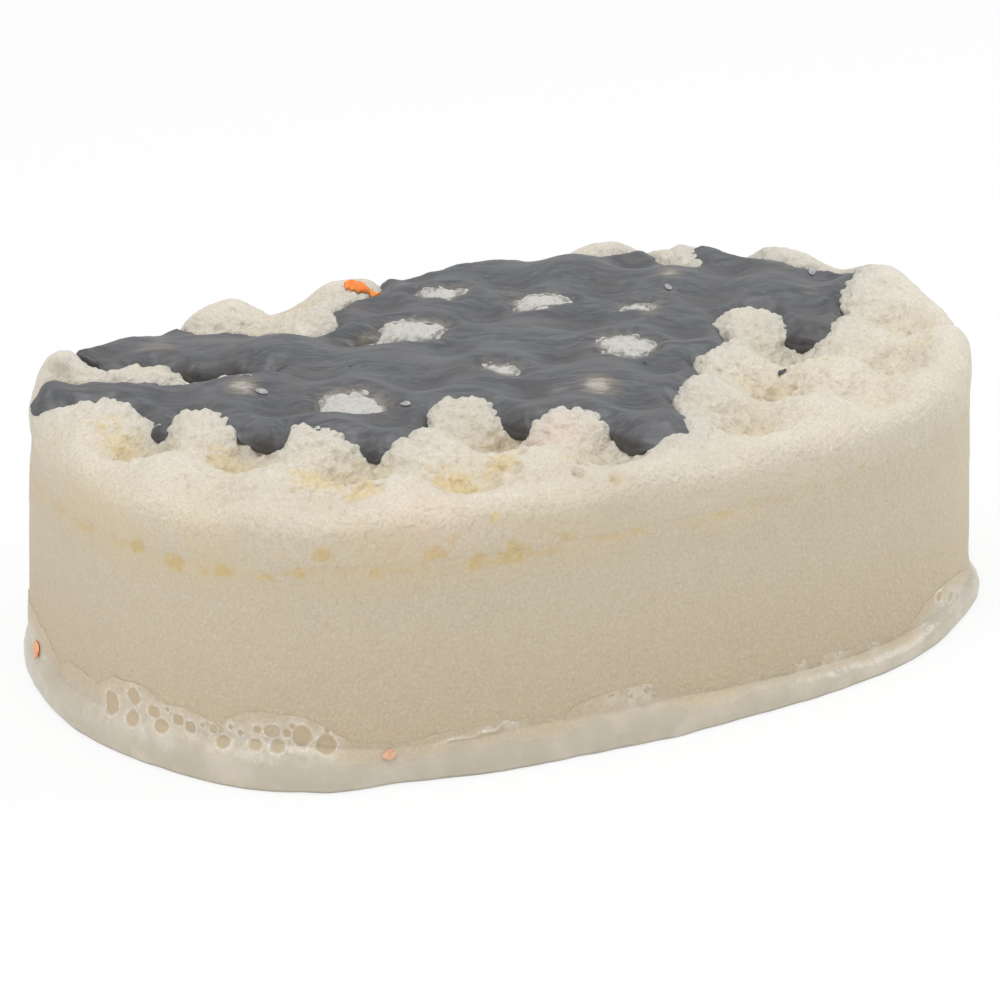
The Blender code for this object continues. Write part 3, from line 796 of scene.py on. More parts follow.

# %% [markdown]
# Froth on the foot.
# Each bubble has broken and left a round window with a thin raised rim. A window is pressed in
# and its rim raised by the distance to its middle. The same distance gives the number that the
# finish uses to show the beige foam through the window. A bubble is given by direction, height and
# radius. The crest at the front is a raised line through places of a direction and a height; the
# finish paints a highlight along it.

# %% Froth
window_depth, rim_rise, crest_rise, crest_reach = 0.07 * mm, 0.06 * mm, 0.18 * mm, 0.20 * mm
froth_bubbles = (
    (-163.8, 6.0, 1.60), (-158.6, 8.2, 1.25), (-158.6, 5.2, 1.30), (-154.6, 7.1, 0.95),
    (-153.1, 5.5, 1.10), (-150.3, 6.9, 0.85), (-148.4, 6.3, 0.80), (-152.2, 7.9, 0.40),
    (-156.2, 4.4, 0.55), (-151.5, 3.9, 0.50), (-145.0, 6.6, 0.60), (-169.0, 3.2, 0.40),
    (-143.4, 5.0, 1.10), (-139.3, 5.0, 1.15), (-136.7, 4.8, 1.35), (-137.4, 7.1, 1.00),
    (-133.9, 6.6, 1.45), (-131.2, 5.4, 1.45), (-133.3, 4.1, 0.95), (-135.6, 6.9, 0.60),
    (-139.2, 7.2, 0.60), (-135.0, 7.9, 0.45), (-141.1, 3.4, 0.45), (-141.3, 6.6, 0.45),
    (-146.6, 6.9, 0.35), (-142.6, 7.2, 0.40), (-131.0, 7.4, 0.45), (-97.0, 6.2, 0.45),
    (-95.0, 6.5, 0.55), (-99.5, 6.9, 0.35), (-111.0, 6.6, 0.60), (-113.6, 6.3, 0.35),
    (-50.2, 5.6, 0.75), (-46.9, 4.3, 0.80), (-44.2, 3.4, 0.55), (-74.5, 4.8, 0.45),
    (-71.4, 4.3, 0.35), (-69.0, 4.4, 0.40), (-63.6, 3.5, 0.35),
)
ridge_line = (
    (-119.6, 4.4), (-117.6, 5.0), (-115.6, 4.9), (-114.4, 5.4), (-113.0, 5.3), (-111.9, 6.2),
    (-110.9, 6.9), (-110.0, 6.0), (-108.6, 6.3), (-107.0, 5.8),
)
normals = points_of(foot.data, "normal")
window, rim, foamy = np.zeros(len(way)), np.zeros(len(way)), np.zeros(len(way))
outside = smooth((outset - wall_outset(z) + 0.2 * mm) / (0.2 * mm)) * (inward <= 0)
for middle, high, radius in froth_bubbles:
    at = oval_place(np.array([math.radians(middle)]), wall_outset(np.array([high * mm])), [high * mm])
    gap = np.abs(foot_points - at)
    wobble = 1 + 0.08 * np.sin(3 * np.arctan2(gap[:, 2], gap[:, 0] + gap[:, 1]) + radius * 7)
    away = np.linalg.norm(gap, axis=1) / (radius * mm * wobble)
    window = np.maximum(window, (1 - smooth((away - 0.78) / 0.26)) * outside)
    rim = np.maximum(rim, np.exp(-(((away - 1.06) * radius / 0.17) ** 2)) * outside)
    foamy = np.maximum(foamy, np.exp(-((away * radius / (radius + 1.1)) ** 4)) * outside)
rim *= 1 - window
# The crest is a real raised line; the finish also paints a highlight along it.
highlit_crest = np.zeros(len(way))
for (turn, high), (next_turn, next_high) in zip(ridge_line, ridge_line[1:]):
    share = np.clip((np.degrees(way) - turn) / (next_turn - turn), 0, 1)
    beside_line = (np.degrees(way) - turn - share * (next_turn - turn)) * mm
    above_line = z - (high + share * (next_high - high)) * mm
    near = np.hypot(beside_line, above_line)
    highlit_crest = np.maximum(highlit_crest, np.exp(-((near / crest_reach) ** 2)))
highlit_crest *= smooth(0.9 + 1.2 * wander(foot_points, 1.1 * mm, 12)) * outside
foot_points += normals * (rim_rise * rim - window_depth * window + crest_rise * highlit_crest)[:, None]
foot_points += normals * (outside * 0.10 * mm * wander(foot_points, 3.0 * mm, 5))[:, None]
move_points(foot.data, foot_points)
for name, values in (("window", window), ("rim", rim), ("foamy", foamy), ("highlit_crest", highlit_crest)):
    paint(foot.data, name, values)
paint(foot.data, "climb", np.clip(z / film_top, 0, 1))
print(len(froth_bubbles), "bubbles of froth")

# %% [markdown]
# Grey sheet: its plan.
# A fine grid is trimmed to the outline, a little inside the edge. Its ragged border is drawn onto
# a line of equal distance from the edge, and four narrow rings are extruded out to the edge
# itself. So the rounded lip gets many points, and the broad middle only as many as it needs. The
# distance is roughened first, because soap that meets crumbly foam has a crumbly edge.

# %% Distance with a ragged edge
def sheet_inset(places):
    """Distance in from the sheet's ragged edge, for plan points."""
    inset = inset_at(places[:, 0], places[:, 1])
    plain = pour_inset(places[:, 0], places[:, 1], inset)
    level = np.column_stack((places, np.zeros(len(places))))
    near = np.exp(-((hole_gap(places[:, 0], places[:, 1]) / (2 * mm)) ** 2))
    ragged = 0.36 * mm * wander(level, 2.6 * mm, 2) * (1 + 1.3 * near)
    ragged += 0.26 * mm * wander(level, 1.1 * mm, 3) * (1 + 0.5 * near)
    return np.minimum(plain + ragged, inset - 0.3 * mm)


def slope_of(places):
    """The way in which the distance grows, at plan points."""
    probe = 0.06 * mm
    sides = []
    for step in ((probe, 0), (0, probe)):
        sides.append((sheet_inset(places + step) - sheet_inset(places - np.array(step))) / (2 * probe))
    return np.stack(sides, 1)


def drawn_to(places, target):
    """Plan points moved to where the distance has the target value."""
    for _ in range(3):
        slope = slope_of(places)
        step = (target - sheet_inset(places)) / np.maximum((slope**2).sum(1), 0.4)
        step = np.clip(step, -0.3 * mm, 0.3 * mm)
        places = places + slope * step[:, None]
    return places


edge_rings = (0.40, 0.27, 0.16, 0.07, 0.0)
print("the edge gets rings at", edge_rings, "mm")

# %% [markdown]
# The trimmed grid.
# Cells that lie wholly inside the outline are kept. Crumbs of the grid that came loose are dropped,
# and so are cells that touch the rest by one corner only, because a wall can't be grown from there.

# %% Trimmed grid
sheet_step = 0.45 * mm
bm = bmesh.new()
bmesh.ops.create_grid(
    bm, x_segments=round(foam_length / sheet_step), y_segments=round(foam_width / sheet_step), size=1
)
bmesh.ops.scale(bm, vec=(half_length, half_width, 1), verts=bm.verts)
bm.verts.ensure_lookup_table()
plan = np.array([vert.co[:2] for vert in bm.verts])
far_in = sheet_inset(plan) > edge_rings[0] * mm
kept = {face for face in bm.faces if all(far_in[vert.index] for vert in face.verts)}


def largest_patch(faces):
    """The largest group of faces that hang together along edges."""
    left, best = set(faces), set()
    while left:
        patch = {left.pop()}
        front = list(patch)
        while front:
            for edge in front.pop().edges:
                for face in left.intersection(edge.link_faces):
                    left.remove(face)
                    patch.add(face)
                    front.append(face)
        best = max(best, patch, key=len)
    return best


kept = largest_patch(kept)
for _ in range(4):
    pinched = [
        vert for vert in bm.verts
        if sum(len(kept.intersection(edge.link_faces)) == 1 for edge in vert.link_edges) > 2
    ]
    kept = largest_patch(kept - {face for vert in pinched for face in vert.link_faces})
bmesh.ops.delete(bm, geom=[face for face in bm.faces if face not in kept], context="FACES")
print(len(bm.faces), "faces left of the grid")

# %% Rings out to the edge
def drawn(verts, target):
    places = drawn_to(np.array([vert.co[:2] for vert in verts]), target)
    for vert, spot in zip(verts, places):
        vert.co.x, vert.co.y = spot


edges = [edge for edge in bm.edges if edge.is_boundary]
drawn(list({vert for edge in edges for vert in edge.verts}), edge_rings[0] * mm)
for target in edge_rings[1:]:
    grown = bmesh.ops.extrude_edge_only(bm, edges=edges)["geom"]
    edges = [item for item in grown if isinstance(item, bmesh.types.BMEdge) and item.is_boundary]
    drawn([item for item in grown if isinstance(item, bmesh.types.BMVert)], target * mm)
copied = bmesh.ops.extrude_face_region(bm, geom=list(bm.faces))["geom"]
for item in copied:
    if isinstance(item, bmesh.types.BMVert):
        item.co.z = 1
upright = [edge for edge in bm.edges if abs(edge.verts[0].co.z - edge.verts[1].co.z) > 0.5]
bmesh.ops.subdivide_edges(bm, edges=upright, cuts=3)
bmesh.ops.recalc_face_normals(bm, faces=bm.faces)
sheet = piece_from(bm, "grey_soap_sheet")
say(sheet)

# %% [markdown]
# Grey sheet: its shape.
# The underside dips into the foam by a hair. The top stands above it by a thickness that is thin
# on the peaks and thick over the pits, and it rounds off towards the edge. Between them the lip
# swells outwards, as a drop of thick liquid does. Long ripples show which way the soap flowed. The
# curls are small raised arcs, given by x, y, radius in millimetres and the way they face in degrees.

# %% Shape of the sheet
pour_thin, pour_fill_share, pour_round = 1.2 * mm, 0.50, 2.2 * mm
lip_share, lip_swell, edge_tuck, curl_rise = 0.34, 0.26 * mm, 0.30 * mm, 0.15 * mm
curls = (
    (-40.5, 11.4, 0.55, 200), (-38.8, 12.0, 0.5, 20), (-35.7, 7.0, 0.8, 60), (-51.7, 1.0, 1.0, 60),
    (-33.6, -16.7, 0.8, 40), (-17.9, -30.0, 0.7, 230), (-29.2, -22.9, 0.7, 120),
)
flat = points_of(sheet.data)
level = flat[:, 2]
inset = inset_at(flat[:, 0], flat[:, 1])
edge_inset = np.maximum(sheet_inset(flat[:, :2]), 0)
outward = -slope_of(flat[:, :2])
outward /= np.maximum(np.linalg.norm(outward, axis=1), 0.3)[:, None]
relief = relief_share(flat[:, 0], flat[:, 1], inset)
full = pour_thin + pour_fill_share * pit_depth * (1 - relief)
high_up = smooth((relief - 0.30) / 0.5)
lip = lip_share * full * (1 - 0.85 * high_up)
rounded_off = np.sqrt(1 - np.clip(1 - edge_inset / pour_round, 0, 1) ** 2)
thinned_out = smooth(edge_inset / (3.2 * mm)) ** 0.8
thickness = lip + (full - lip) * (rounded_off + (thinned_out - rounded_off) * high_up)
flow = np.column_stack((flat[:, 0] / 4, flat[:, 1] + 0.58 * flat[:, 0], 0 * level))
ripple = 0.03 * mm * wander(flow, 1.5 * mm, 6) + 0.10 * mm * wander(flat * (1, 1, 0), 4.5 * mm, 7)
for x, y, radius, turn in curls:
    gap = flat[:, :2] - np.array((x, y)) * mm
    facing = np.cos(np.arctan2(gap[:, 1], gap[:, 0]) - math.radians(turn))
    away = (np.linalg.norm(gap, axis=1) - radius * mm) / (0.30 * mm)
    ripple += curl_rise * np.exp(-(away**2)) * smooth(facing + 0.3)
swell = np.where((level > 0) & (level < 1), lip_swell * np.sin(np.pi * level), 0)
swell -= np.where(level == 0, edge_tuck * np.exp(-edge_inset / (0.4 * mm)), 0)
places = flat[:, :2] + outward * swell[:, None]
bed = foam_top(flat[:, 0], flat[:, 1], inset)
below = bed - 0.25 * mm
above = bed + layer_gap * (1 - 0.8 * high_up) + thickness + ripple * smooth(edge_inset / mm)
z = below + (above - below) * level
move_points(sheet.data, np.column_stack((places, z)))
sheet_flat, sheet_relief = flat, relief
say(sheet)

# %% [markdown]
# Marks on the pieces.
# Some colour belongs to a place: yellow bare foam at the bottom of the pits and along the seam, a
# pink blush, stains, foam that is greyer beside the sheet, and pale smears where the sheet is thin.
# The sheet also gets painted shade in its pockets and under its lip. Each is worked out here as a
# number for every vertex, and the finishes read it by name.

# %% Spots
def spots(points, places):
    """The strongest of several soft round spots: (x, y, z, radius, strength) in millimetres."""
    total = np.zeros(len(points))
    for x, y, z, radius, strength in places:
        away = np.linalg.norm(points - np.array((x, y, z)) * mm, axis=1) / (radius * mm)
        total = np.maximum(total, strength * np.exp(-(away**2)))
    return total


flattened = np.array((1, 1, 1.4))


def seam_spots(places):
    """The same, for flattened places on the wall: (direction, height, radius, strength)."""
    made = []
    for turn, high, radius, strength in places:
        outset = wall_outset(np.array([high * mm]))
        spot = oval_place(np.array([math.radians(turn)]), outset, [high * mm])[0]
        made.append((*(spot / mm * flattened), radius, strength))
    return made


yellow_pits = (
    (-56.3, 4.7, 35.9, 2.6, 0.7), (-55.8, 1.0, 33.6, 4.0, 0.8), (-50.6, -1.7, 34.9, 2.6, 0.6),
    (-46.2, -9.8, 32.6, 4.2, 0.9), (-40.6, -26.1, 34.9, 2.4, 1.0), (-38.8, -31.3, 35.2, 2.6, 1.1),
    (-42.9, -24.7, 34.6, 2.8, 1.3),
    (-31.8, -21.2, 33.6, 3.6, 0.8), (-25.6, -30.3, 32.7, 4.0, 0.9), (-19.6, -31.0, 35.1, 2.8, 0.9),
    (-12.4, -19.8, 33.4, 2.6, 0.9), (-11.5, -35.5, 35.7, 2.0, 0.6), (-9.2, -41.0, 34.7, 1.6, 0.6),
    (24.6, -19.5, 33.7, 3.6, 0.5), (35.9, -21.6, 36.5, 3.0, 0.5), (42.1, -27.8, 34.9, 2.6, 0.5),
    (52.0, -21.1, 36.1, 3.0, 0.5), (27.8, -21.8, 32.1, 3.4, 0.6),
)
seam_pores = (
    (-175.0, 27.6, 1.6, 0.4), (-157.6, 28.1, 1.7, 0.9), (-150.7, 27.1, 2.0, 1.0),
    (-146.0, 26.9, 1.5, 0.6), (-143.5, 27.2, 1.6, 0.8), (-138.1, 26.9, 1.5, 0.6),
    (-134.0, 27.4, 1.6, 0.6), (-131.3, 29.9, 1.7, 1.0), (-125.8, 27.1, 1.7, 0.7),
    (-119.6, 29.1, 1.9, 1.0), (-117.0, 31.0, 1.5, 0.6), (-114.7, 27.5, 1.8, 1.0),
    (-112.9, 32.6, 1.3, 0.9), (-110.9, 27.7, 2.3, 1.2), (-107.8, 29.6, 1.2, 0.6),
    (-104.9, 28.9, 1.5, 0.7), (-101.0, 28.2, 1.2, 0.5), (-95.8, 28.2, 2.0, 0.6),
    (-92.9, 32.5, 1.2, 0.5), (-88.0, 27.4, 2.0, 0.5), (-85.3, 27.8, 2.2, 0.6),
    (-81.3, 27.8, 2.2, 0.5), (-72.5, 28.6, 2.4, 0.5), (-65.0, 28.9, 2.4, 0.5),
)
print(len(yellow_pits), "pits and", len(seam_pores), "pores are named")

# %% Marks on the foam
def seam_line(points):
    """A broken, wavy line along the seam, where the foam shows between the two soaps."""
    high = seam_height - 0.6 * mm + 0.9 * mm * wander(points * (1, 1, 0), 14 * mm, 8)
    close = np.exp(-(((points[:, 2] - high) / (0.55 * mm)) ** 2))
    blots = np.exp(-(((points[:, 2] - high) / (1.2 * mm)) ** 2))
    broken = smooth(wander(points, 6.0 * mm, 9) * 2.0 + 0.3)
    blotted = smooth(wander(points, 4.2 * mm, 10) * 3 - 0.6)
    return np.maximum(0.45 * close * broken, 0.8 * blots * blotted)


for piece, points in ((upper, upper_points), (lower, lower_points)):
    pores = spots(points * flattened, seam_spots(seam_pores))
    bare = np.maximum(spots(points, yellow_pits), pores)
    back_side = smooth(points[:, 1] / (25 * mm) - 0.2 + points[:, 0] / (80 * mm))
    bare = np.maximum(bare, seam_line(points) * (0.45 + 0.55 * back_side))
    paint(piece.data, "bare", bare * np.clip(0.9 + 0.5 * wander(points, 1.0 * mm, 11), 0, 1))
    paint(piece.data, "soaked_band", 1 - smooth(points[:, 0] / (90 * mm) + 0.5))
relief = relief_share(upper_points[:, 0], upper_points[:, 1], upper_inset)
valley = smooth((0.60 - relief) / 0.55) * smooth(upper_inset / (4 * mm))
paint(upper.data, "valley", valley)
from_sheet = np.clip(-upper_pour, 0, None)
# Foam greyer beside the sheet's edge, fading over a few millimetres.
paint(upper.data, "tinged", np.exp(-from_sheet / (3.2 * mm)) * (1 - in_hole))
paint(upper.data, "filmed", in_hole * (0.40 + 0.60 * np.exp(-from_sheet / (0.6 * mm))))
paint(upper.data, "pressed", pressed)
dull_places = (
    (-17.6, -17.4, 35.0, 5.0, 0.9), (35.4, -6.3, 35.8, 5.0, 0.9), (-11.0, -40.0, 33.5, 7.0, 0.7),
    (16.9, -27.0, 35.5, 6.0, 0.5), (-49.3, -27.3, 34.0, 8.0, 0.4),
)
blush_places = ((-9.3, -24.7, 35.5, 5.0, 1.0), (-33, -38, 33, 5.0, 0.5))
stain_places = (
    (-54.5, 23.7, 37.0, 1.9, 1.0), (-42.4, -7.8, 34.6, 2.0, 0.9),
    (-56.6, 21.0, 36.5, 2.0, 0.7), (-51.3, -2.0, 34.9, 2.2, 0.6),
)
for name, marked in (("dull", dull_places), ("blush", blush_places), ("stain", stain_places)):
    paint(upper.data, name, spots(upper_points, marked))
print("foam marked")

# %% Marks on the sheet
thin_places = (
    (3.2, -17.0, 37.4, 2.8, 1.0), (-1.0, -14.2, 37.0, 2.0, 0.6), (-37.0, 4.9, 37.8, 2.6, 0.9),
    (-38.4, 29.0, 36.4, 3.0, 0.6), (24.2, 4.6, 37.8, 2.6, 0.5), (36.5, 17.5, 37.8, 2.2, 0.8),
    (-24.0, 9.5, 37.0, 2.2, 0.35), (-48.0, 10.0, 37.0, 2.0, 0.25), (45.0, 12.0, 37.0, 2.4, 0.3),
    (32.9, 12.2, 37.1, 2.0, 0.4), (50.3, 2.3, 37.3, 2.0, 0.5), (-12.6, 27.6, 38.9, 3.0, 0.35),
)
# Painted shade: places in the sheet's deep pockets and notches, painted nearly black.
painted_shade_places = (
    (-60.6, 18.5, 37.0, 2.2, 0.9), (-51.3, 0.0, 36.4, 2.4, 0.8), (-41.4, -11.5, 35.6, 2.2, 0.9),
    (-30.9, -3.9, 36.9, 1.4, 0.9), (-32.4, -21.1, 36.3, 2.4, 0.9), (-11.5, -22.2, 36.0, 3.0, 1.0),
    (-3.3, -27.3, 37.5, 1.8, 1.0), (-34.0, 9.9, 38.1, 1.8, 0.8), (40.3, -11.5, 36.6, 3.2, 0.9),
)
points = points_of(sheet.data)
from_hole = np.clip(hole_gap(sheet_flat[:, 0], sheet_flat[:, 1]), 0, None)
by_hole = np.exp(-from_hole / (1.5 * mm)) * (level > 0.9)
paint(sheet.data, "thin", np.maximum(spots(points, thin_places), 0.75 * by_hole))
# Painted shade in the sheet's pits, where it lies low.
pocket_shade = smooth((0.55 - sheet_relief) / 0.5)
paint(sheet.data, "pocket_shade", np.clip(spots(points, painted_shade_places) + 0.25 * pocket_shade, 0, 1))
# Painted shade under the lip: the sheet's sides and underside, and its low edges, are painted dark.
under = np.where(level < 0.7, 1.0, 0.0)
low_down = 1 - 0.8 * smooth((sheet_relief - 0.45) / 0.35)
paint(sheet.data, "under", np.maximum(under, np.exp(-edge_inset / (0.75 * mm)) * low_down))
print("sheet marked")

# %% [markdown]
# Stray bits of soap.
# Three orange flakes, a few white crumbs and a grey drip were splashed on and stuck. Each starts as
# a ball of fine triangles. It is pressed flat onto what carries it: a ray from each point finds the
# dressed surface below, and the ball's own height becomes the flake's small thickness. A flake is
# given by its length, its width as a share of that, its thickness, its turn and how ragged it is.

# %% Flakes
well_above = 200 * mm
surfaces = {}
for piece in (upper, lower, sheet, foot):
    bpy.context.view_layer.update()
    surfaces[piece.name] = BVHTree.FromObject(piece, bpy.context.evaluated_depsgraph_get())


def flake(name, carriers, start, towards, length, share, thickness, turn, ragged=1.0):
    """A ragged flake pressed onto its carriers, along a line from start."""
    bm = bmesh.new()
    bmesh.ops.create_icosphere(bm, subdivisions=5, radius=1)
    frame_turn = towards.to_track_quat("Z", "Y").to_matrix() @ Matrix.Rotation(turn, 3, "Z")
    for vert in bm.verts:
        round_it = Vector((vert.co.x, vert.co.y, 0))
        jag = 0.30 * noise.noise(round_it * 1.4 + start * 900)
        jag += 0.16 * noise.noise(round_it * 4 + start * 500)
        jag = 1 + ragged * jag
        plan = Vector((vert.co.x * jag * length / 2, vert.co.y * jag * length * share / 2, 0))
        spot = start + frame_turn @ plan
        found = [surfaces[carrier].ray_cast(spot, towards)[3] for carrier in carriers]
        near = min(away for away in found if away is not None)
        side = math.copysign(abs(vert.co.z) ** 0.6, -vert.co.z)
        crumple = 1 + 0.3 * noise.noise(Vector(vert.co) * 1.6 + start * 700)
        rise = 0.05 * mm + thickness * crumple * (1 + side) / 2
        vert.co = spot + towards * (near - rise)
    bmesh.ops.recalc_face_normals(bm, faces=bm.faces)
    piece = piece_from(bm, name)
    say(piece)
    return piece


def on_top(x, y):
    return Vector((x * half_length, y * half_width, well_above)), Vector((0, 0, -1))


def beside(turn, high):
    """A start outside the foot, at this direction and height, and the way in."""
    out = Vector((math.cos(math.radians(turn)), math.sin(math.radians(turn)), 0))
    wall = oval_place(np.array([math.radians(turn)]), np.zeros(1), [high])[0]
    return Vector(wall) + out * foam_width, -out


tops, sides = ("upper_foam", "grey_soap_sheet"), ("soap_foot_skirt", "lower_foam")
flakes = [
    ("orange_fleck_back", flake(
        "orange_flake_back", tops, *on_top(-0.057, 0.825), 4.8 * mm, 0.58, 0.7 * mm, math.radians(20)
    )),
    ("orange_fleck_side", flake(
        "orange_flake_side", sides, *beside(167, 4.9 * mm), 2.0 * mm, 1.2, 0.3 * mm, math.radians(90)
    )),
    ("orange_fleck_foot", flake(
        "orange_flake_foot", sides, *beside(-124.3, 4.05 * mm), 1.5 * mm, 0.7, 0.35 * mm, 0.0
    )),
    ("grey_soap_drip", flake(
        "grey_drip", tops, *on_top(0.474, -0.45), 1.8 * mm, 0.45, 0.25 * mm, math.radians(-30), 0.6
    )),
]
crumb_places = ((-0.549, 0.066), (-0.33, -0.23), (0.519, 0.309), (0.87, 0.24))
for number, (x, y) in enumerate(crumb_places, start=1):
    turn = math.radians(35 * number)
    made = flake(f"white_crumb_{number}", tops, *on_top(x, y), 1.6 * mm, 0.6, 0.24 * mm, turn, 0.4)
    flakes.append((f"white_soap_crumb_{number}", made))
print(len(flakes), "stray bits")

# %% [markdown]
# Finish of the foam.
# The foam is one finish for both layers. White soap makes the peaks creamy white. Down the wall it
# thins out and the beige of the soaked foam comes through, without a line; that fade is partly painted
# shade, since the wall gets less of the light from above. The highest tops are painted lighter still
# and carry painted glints, near-white specks: both are painted light. The grain of the foam is a fine
# mottle. Each coat of colour goes over the one before it, as far as its share says.

# %% Ground colour of the foam
foam = Finish("soaked_bath_foam")
level_up = foam.node("ShaderNodeSeparateXYZ", None, {"Vector": foam.coords}, out="Z")
cloud = soft_noise(foam, 9 * mm, 3)
high = level_up + (cloud - 0.5) * (5 * mm)
whiteness = ramp(foam, high, 24.5 * mm, 37 * mm)
mottle = soft_noise(foam, 0.36 * mm, 3)
contrast = 0.18 + whiteness * 0.18
# Painted glints: near-white specks on the high foam stand in for small highlights.
painted_glints = ramp(foam, soft_noise(foam, 0.32 * mm, 2), 0.62, 0.70) * ramp(foam, high, 30 * mm, 34 * mm)
patches = ramp(foam, soft_noise(foam, 3.0 * mm, 4), 0.35, 0.70) * ramp(foam, high, 26 * mm, 33 * mm)
# Lighter up the wall: partly the soaked foam's own beige, partly painted shade at the bottom, where less
# light from above falls.
colour = mix(foam, ramp(foam, high, 4 * mm, 24 * mm), tone(200, 184, 157), tone(206, 193, 170))
colour = coated(
    foam, colour,
    (whiteness, tone(224, 214, 197)),
    (ramp(foam, mottle, 0.45, 0.75) * contrast, tone(190, 173, 142)),
    (ramp(foam, 1 - mottle, 0.45, 0.75) * contrast, tone(240, 233, 218)),
    # Painted light: the highest tops are made lighter, as if lit from above.
    (ramp(foam, high, 34.5 * mm, 39.5 * mm) * 0.55, tone(234, 229, 220)),
    (painted_glints * 0.55, tone(250, 246, 238)),
    (patches * 0.35, tone(214, 203, 182)),
)
print("foam ground has", len(foam.tree.nodes), "nodes")

# %% [markdown]
# Bare foam.
# In the pits and along the seam the soap is thin or missing, and the foam's own yellow shows. It is
# stronger at the left end, which the soaked_band attribute says. Noise breaks every edge up, so
# that no patch ends in a clean line.

# %% Bare foam and the seam
seam_at, yellow_at = 27.4 * mm, 29.5 * mm
soaked_band = painted(foam, "soaked_band")
pits = painted(foam, "valley") * ramp(foam, soft_noise(foam, 2.2 * mm, 3), 0.25, 0.60)
pit_tone = mix(foam, soaked_band, tone(240, 229, 204), tone(229, 214, 176))
broken = soft_noise(foam, 1.1 * mm, 3)
bare = ramp(foam, painted(foam, "bare") + (broken - 0.5) * 1.3, 0.28, 0.72)
wave = (soft_noise(foam, 12 * mm, 2) - 0.5) * (3 * mm)
off_seam = level_up.math("ABSOLUTE", level_up - seam_at + wave + (broken - 0.5) * (2.0 * mm))
seam = ramp(foam, off_seam, 0.7 * mm, 0.1 * mm) * ramp(foam, soft_noise(foam, 4 * mm, 3), 0.40, 0.60)
holes = ramp(foam, cells(foam, 0.9 * mm), 0.75, 0.35)
wall_tone = mix(foam, soaked_band, tone(217, 204, 163), tone(212, 187, 131))
top_tone = mix(foam, soaked_band, tone(236, 222, 184), tone(229, 208, 158))
bare_tone = mix(foam, ramp(foam, level_up, 30 * mm, 33 * mm), wall_tone, top_tone)
off_yellow = level_up.math("ABSOLUTE", level_up - yellow_at)
yellowed = ramp(foam, off_yellow, 6.5 * mm, 1 * mm) * soaked_band
colour = coated(
    foam, colour,
    (pits * 0.65, pit_tone),
    (yellowed * ramp(foam, cloud, 0.25, 0.60) * 0.45, tone(213, 192, 148)),
    (bare * 0.72, bare_tone),
    (seam * (0.20 + soaked_band * 0.35), tone(210, 185, 134)),
    (bare * holes * 0.22, tone(186, 156, 104)),
)
print("with bare foam", len(foam.tree.nodes), "nodes")

# %% [markdown]
# Stains and grain of the foam.
# The grey soap has left a film on the foam in its holes. Beside its edge the foam is greyer. The grain
# is a bump of open cells all over, with crumbs added where the white soap is thick.

# %% Stains and grain of the foam
filmed = painted(foam, "filmed")
film = filmed + (mottle - 0.5) * 0.7 + (broken - 0.5) * 1.2
colour = coated(
    foam, colour,
    (painted(foam, "blush") * 0.35, tone(240, 205, 190)),
    (painted(foam, "stain") * 0.75, tone(150, 138, 116)),
    (painted(foam, "dull") * 0.45, tone(199, 188, 171)),
    (painted(foam, "tinged") * 0.75, tone(206, 202, 192)),
    (ramp(foam, filmed, 0.0, 0.4), tone(205, 203, 196)),
    (ramp(foam, film, 0.50, 1.05) * ramp(foam, filmed, 0.2, 0.5), tone(140, 138, 134)),
    (painted(foam, "pressed") * 0.45, tone(168, 148, 112)),
)
open_cells = soft_noise(foam, 0.42 * mm, 3) * 0.8 + cells(foam, 0.65 * mm) * 0.5
crumbs = (1 - cells(foam, 1.1 * mm, "SMOOTH_F1")) * ramp(foam, high, 27 * mm, 33 * mm)
skin = bump(foam, open_cells + crumbs * 1.1, 0.30 * mm)
foam.set(Base_Color=colour, Roughness=0.62 - bare * 0.15 - pits * 0.28 - painted_glints * 0.30, Normal=skin)
lit_within(foam, 0.25, 0.9 * mm, 0.35)
for piece in (upper, lower):
    piece.data.materials.append(foam.material)
print("foam finish has", len(foam.tree.nodes), "nodes")

# %% [markdown]
# Finish of the grey soap.
# Set soap is satin: smooth, but not a mirror. Fine darker and lighter streaks follow the flow, and
# a low bump along the same streaks breaks the gloss up. Where the sheet is thin, the pale foam
# shows through it. Its deep pockets and the underside of its lip are painted nearly black, as painted
# shade.

# %% Ground colour of the grey soap
grey = Finish("grey_soap")
flowing = stretched(grey, (3.6, 1.0, 1.6), math.radians(-28))
swirl = soft_noise(grey, 2.0 * mm, 4, flowing, 1.2)
hair = soft_noise(grey, 0.45 * mm, 3, flowing, 0.8)
thin = painted(grey, "thin") + (hair - 0.5) * 0.7 + (swirl - 0.5) * 0.7
brownish = ramp(grey, thin, 0.15, 0.60) * ramp(grey, painted(grey, "thin"), 0.05, 0.30)
patchy = ramp(grey, thin, 0.55, 1.0)
colour = mix(grey, ramp(grey, swirl, 0.30, 0.70), tone(80, 82, 86), tone(105, 106, 109))
colour = coated(
    grey, colour,
    (ramp(grey, hair, 0.48, 0.68) * 0.35, tone(124, 124, 124)),
    (ramp(grey, 1 - hair, 0.48, 0.68) * 0.25, tone(76, 77, 80)),
    (ramp(grey, soft_noise(grey, 6 * mm, 3), 0.45, 0.75) * 0.40, tone(98, 95, 92)),
    # Painted shade in the pockets.
    (painted(grey, "pocket_shade") * 0.78, tone(54, 50, 48)),
    # Painted shade under the lip.
    (painted(grey, "under") * 0.70, tone(54, 50, 49)),
    (brownish * 0.55, tone(134, 126, 115)),
    (patchy * 0.75, tone(196, 190, 178)),
)
print("grey ground has", len(grey.tree.nodes), "nodes")

# %% [markdown]
# Pores and curls of the grey soap.
# A few bubbles burst and left dark pores, which are dots round named places in the plan. The curls
# that the mesh raises get a painted highlight: a pale line, a piece of a ring on the side that they face.

